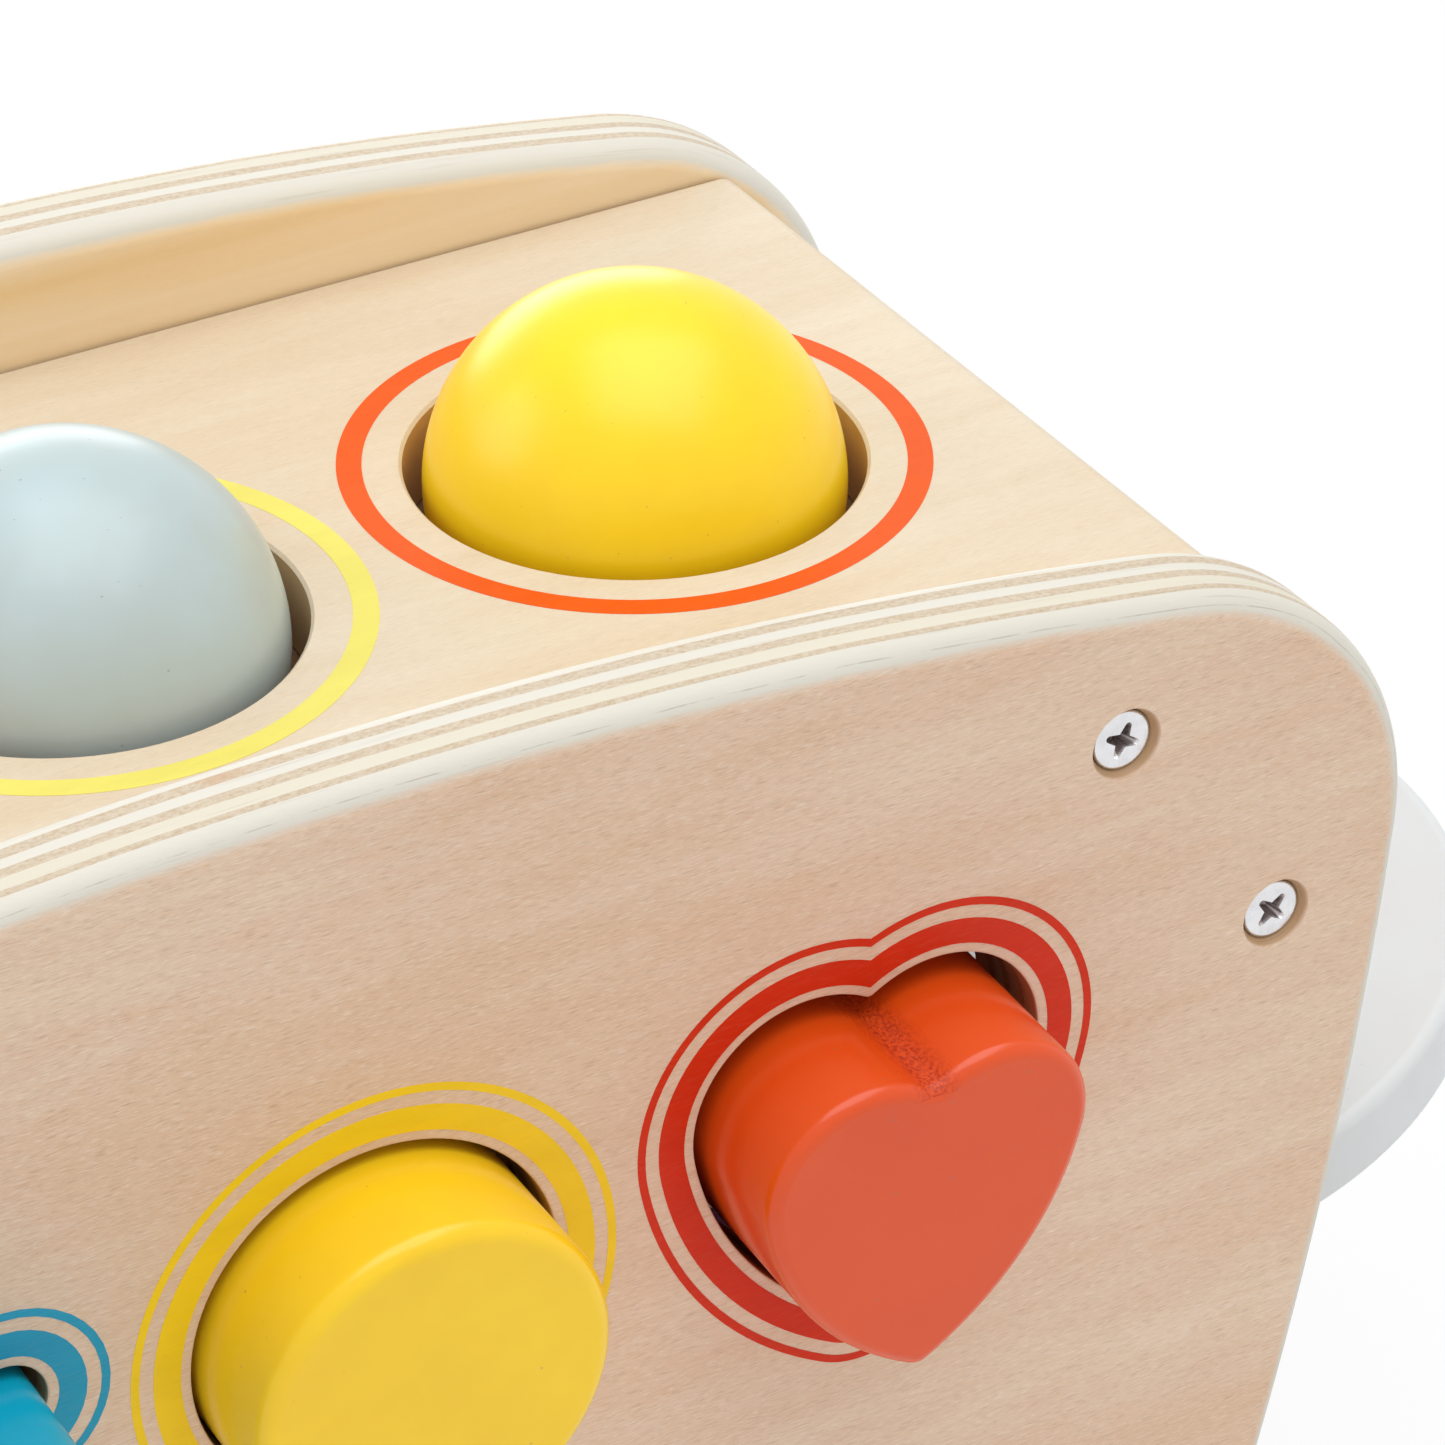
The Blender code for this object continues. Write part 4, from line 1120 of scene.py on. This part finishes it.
def cross_points(share):
    """Outline of the cross-shaped drive recess, its arms tapering to their round ends."""
    end = CROSS_WIDTH * share / 2
    reach = CROSS_SPAN * share / 2 - end
    waist = CROSS_WAIST * share / 2
    arm = arc((reach, 0), end, -QUARTER, QUARTER, STEPS["cross_arm"])
    arm.append((waist, waist))
    return [(x * math.cos(t) - y * math.sin(t), x * math.sin(t) + y * math.cos(t))
            for t in (0, QUARTER, math.pi, 3 * QUARTER) for x, y in arm]


def screw_mesh():
    """A countersunk screw, its head's face at zero, with a tapered cross recess."""
    section = [(0, 0), *arc((SCREW_HEAD_RADIUS - SCREW_BEVEL, -SCREW_BEVEL), SCREW_BEVEL,
                            QUARTER, 0, STEPS["screw_bevel"]),
               (SCREW_HEAD_RADIUS, -SCREW_RIM_HEIGHT), (SCREW_SHANK_RADIUS, -SCREW_HEAD_HEIGHT),
               (SCREW_SHANK_RADIUS, SCREW_TIP_LENGTH - SCREW_LENGTH),
               (SCREW_TIP_RADIUS, -SCREW_LENGTH), (0, -SCREW_LENGTH)]
    cross = stacked([(cross_points(CROSS_FLOOR_SHARE), -CROSS_DEPTH), (cross_points(1), 0),
                     (cross_points(1), CROSS_DEPTH)])
    screw = new_object("screw", as_mesh("screw", turned(section, STEPS["screw"])))
    tool = new_object("cross", as_mesh("cross", cross))
    cut = screw.modifiers.new("cross", "BOOLEAN")
    cut.solver = "EXACT"
    cut.object = tool
    graph = bpy.context.evaluated_depsgraph_get()
    mesh = bpy.data.meshes.new_from_object(screw.evaluated_get(graph))
    for item in (screw, tool):
        bpy.data.objects.remove(item, do_unlink=True)
    return mesh


def add_screws(looks):
    """Screws through each panel, their crosses turned to different angles."""
    shape = screw_mesh()
    face = PANEL_OUTER_Y - SCREW_SINK
    for side, sign in SIDES:
        facing = Matrix.Rotation(-sign * QUARTER, 4, "X")
        for order, (label, x, z) in enumerate(screw_places()):
            work = bmesh.new()
            work.from_mesh(shape)
            turn = Matrix.Rotation(SCREW_TURN * (order + 1), 4, "Z")
            dress(f"screw_{side}_{label}", work, at(x, sign * face, z) @ facing @ turn, "zinc",
                  looks, finish="screw")
    bpy.data.meshes.remove(shape)


def make_looks():
    """Every material, by the name of its slot or of the piece that it is for."""
    inner = INNER_WIDTH / 2
    crease = (HEART_X + CREASE_SHIFT, PEG_ROW_HEIGHT + CREASE_RISE)
    made = {
        "front_panel": panel_wood("front_panel_look", BENCH_Y - PANEL_OUTER_Y, BENCH_Y - inner),
        "rear_panel": panel_wood("rear_panel_look", BENCH_Y + PANEL_OUTER_Y, BENCH_Y + inner),
        "board_wood": plain_wood("board_look", BOARD_PALE, BOARD_WARM, BOARD_HEIGHT),
        "header_wood": plain_wood("runner_look", HEADER_PALE, HEADER_WARM),
        "headers": plain_wood("header_look", HEADER_PALE, HEADER_WARM, crosswise=True),
        "yellow_paint": paint("yellow_look", YELLOW, BALL_ROUGHNESS),
        "circle_peg": paint("circle_peg_look", SHADED_PEG_YELLOW, PEG_ROUGHNESS),
        "grey_blue_paint": paint("grey_blue_look", GREY_BLUE, BALL_ROUGHNESS),
        "orange_paint": paint("orange_look", ORANGE, BALL_ROUGHNESS),
        "heart_peg": paint("red_look", RED, PEG_ROUGHNESS, crease=crease),
        "star_peg": paint("blue_look", BLUE, PEG_ROUGHNESS),
        "white_paint": paint("white_look", WHITE, WHITE_ROUGHNESS, WHITE_WAVER, WHITE_FLECKS),
        "heart": print_film("red_print", PRINT_RED),
        "circle": print_film("yellow_print", PRINT_YELLOW),
        "star": print_film("blue_print", PRINT_BLUE),
        "orange_ring": print_film("orange_print", PRINT_ORANGE),
        "lemon": print_film("lemon_print", PRINT_LEMON),
        "felt": felt(),
        "rubber": rubber(),
        "zinc": metal("zinc_look", ZINC, ZINC_ROUGHNESS),
        "screw": metal("screw_look", ZINC, SCREW_ROUGHNESS, PANEL_OUTER_Y - SCREW_SINK),
    }
    for slot, colour in ENAMELS.items():
        made[slot] = enamel(f"{slot}_look", colour)
    return made


# Light, floor and camera
AMBIENT = 0.67
AIM = (0, 0, 0.1)
# Each lamp: power, width and height, place, aim, and whether it lights more than glossy rims
LAMPS = {
    "key_light": (11.9, (1.3, 1.3), (0.18, -0.10, 1.40), AIM, True),
    "side_light": (6.0, (1.0, 1.0), (-1.30, 0.80, 0.90), AIM, True),
    "rim_light": (8.2, (1.5, 0.65), (0.45, 1.60, 0.33), (0.45, 0, 0.33), False),
}
FLOOR_SIZE = 12.0
FLOOR_COLOUR = (0.86, 0.86, 0.86, 1.0)
FLOOR_GLOW = 0.92
CAMERA_PLACE = (-0.195867, -0.457396, 0.463677)
CAMERA_FORWARD = Vector((0.42511245, 0.7244891, -0.54258174))
CAMERA_RIGHT = Vector((0.86286419, -0.50543449, 0.00116579))
CAMERA_LENS = 145.94
CAMERA_SENSOR = 36.0


def light_scene():
    """White surroundings, soft lamps overhead and at the side, and one for glossy rims."""
    world = bpy.data.worlds.new("studio")
    bpy.context.scene.world = world
    made = Nodes(world)
    back = made.tree.nodes["Background"].inputs
    back["Color"].default_value = (1.0, 1.0, 1.0, 1.0)
    made.feed(back["Strength"], made.span(made.seen_directly(), 0.0, 1.0, AMBIENT, 1.0))
    for name, (power, size, place, aim, everywhere) in LAMPS.items():
        lamp = bpy.data.lights.new(name, "AREA")
        lamp.shape = "RECTANGLE"
        lamp.size, lamp.size_y = size
        lamp.energy = power
        holder = new_object(name, lamp)
        holder.location = place
        holder.rotation_euler = (Vector(aim) - Vector(place)).to_track_quat("-Z", "Y").to_euler()
        holder.visible_camera = False
        holder.visible_diffuse = everywhere


def add_floor():
    """A plain pale floor that reads as white and keeps the object's shadow."""
    half = FLOOR_SIZE / 2
    mesh = bpy.data.meshes.new("floor")
    mesh.from_pydata([(-half, -half, 0), (half, -half, 0), (half, half, 0), (-half, half, 0)], [],
                     [(0, 1, 2, 3)])
    floor = new_object("floor", mesh)
    finish = bpy.data.materials.new("floor")
    made = Nodes(finish)
    surface = made.tree.nodes["Principled BSDF"]
    surface.inputs["Base Color"].default_value = FLOOR_COLOUR
    surface.inputs["Roughness"].default_value = 1.0
    surface.inputs["Specular IOR Level"].default_value = 0.0
    glow = made.add("ShaderNodeEmission").outputs[0]
    share = made.calc("MULTIPLY", made.seen_directly(), FLOOR_GLOW)
    mixed = made.add("ShaderNodeMixShader", {0: share, 1: surface.outputs[0], 2: glow})
    made.feed(made.tree.nodes["Material Output"].inputs["Surface"], mixed.outputs[0])
    mesh.materials.append(finish)


def add_camera():
    """The photograph's own viewpoint."""
    data = bpy.data.cameras.new("camera")
    data.sensor_width = CAMERA_SENSOR
    data.lens = CAMERA_LENS
    camera = new_object("camera", data)
    up = CAMERA_RIGHT.cross(CAMERA_FORWARD)
    turn = Matrix((CAMERA_RIGHT, up, -CAMERA_FORWARD)).transposed().to_4x4()
    camera.matrix_world = Matrix.Translation(CAMERA_PLACE) @ turn
    bpy.context.scene.camera = camera


def build():
    """Dress every node."""
    looks = make_looks()
    for add_some in (add_panels, add_pegs, add_top_board, add_balls, add_crosspieces,
                     add_xylophone, add_screws):
        add_some(looks)


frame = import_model()
build()
light_scene()
add_floor()
add_camera()
bpy.context.scene.view_settings.view_transform = "Standard"
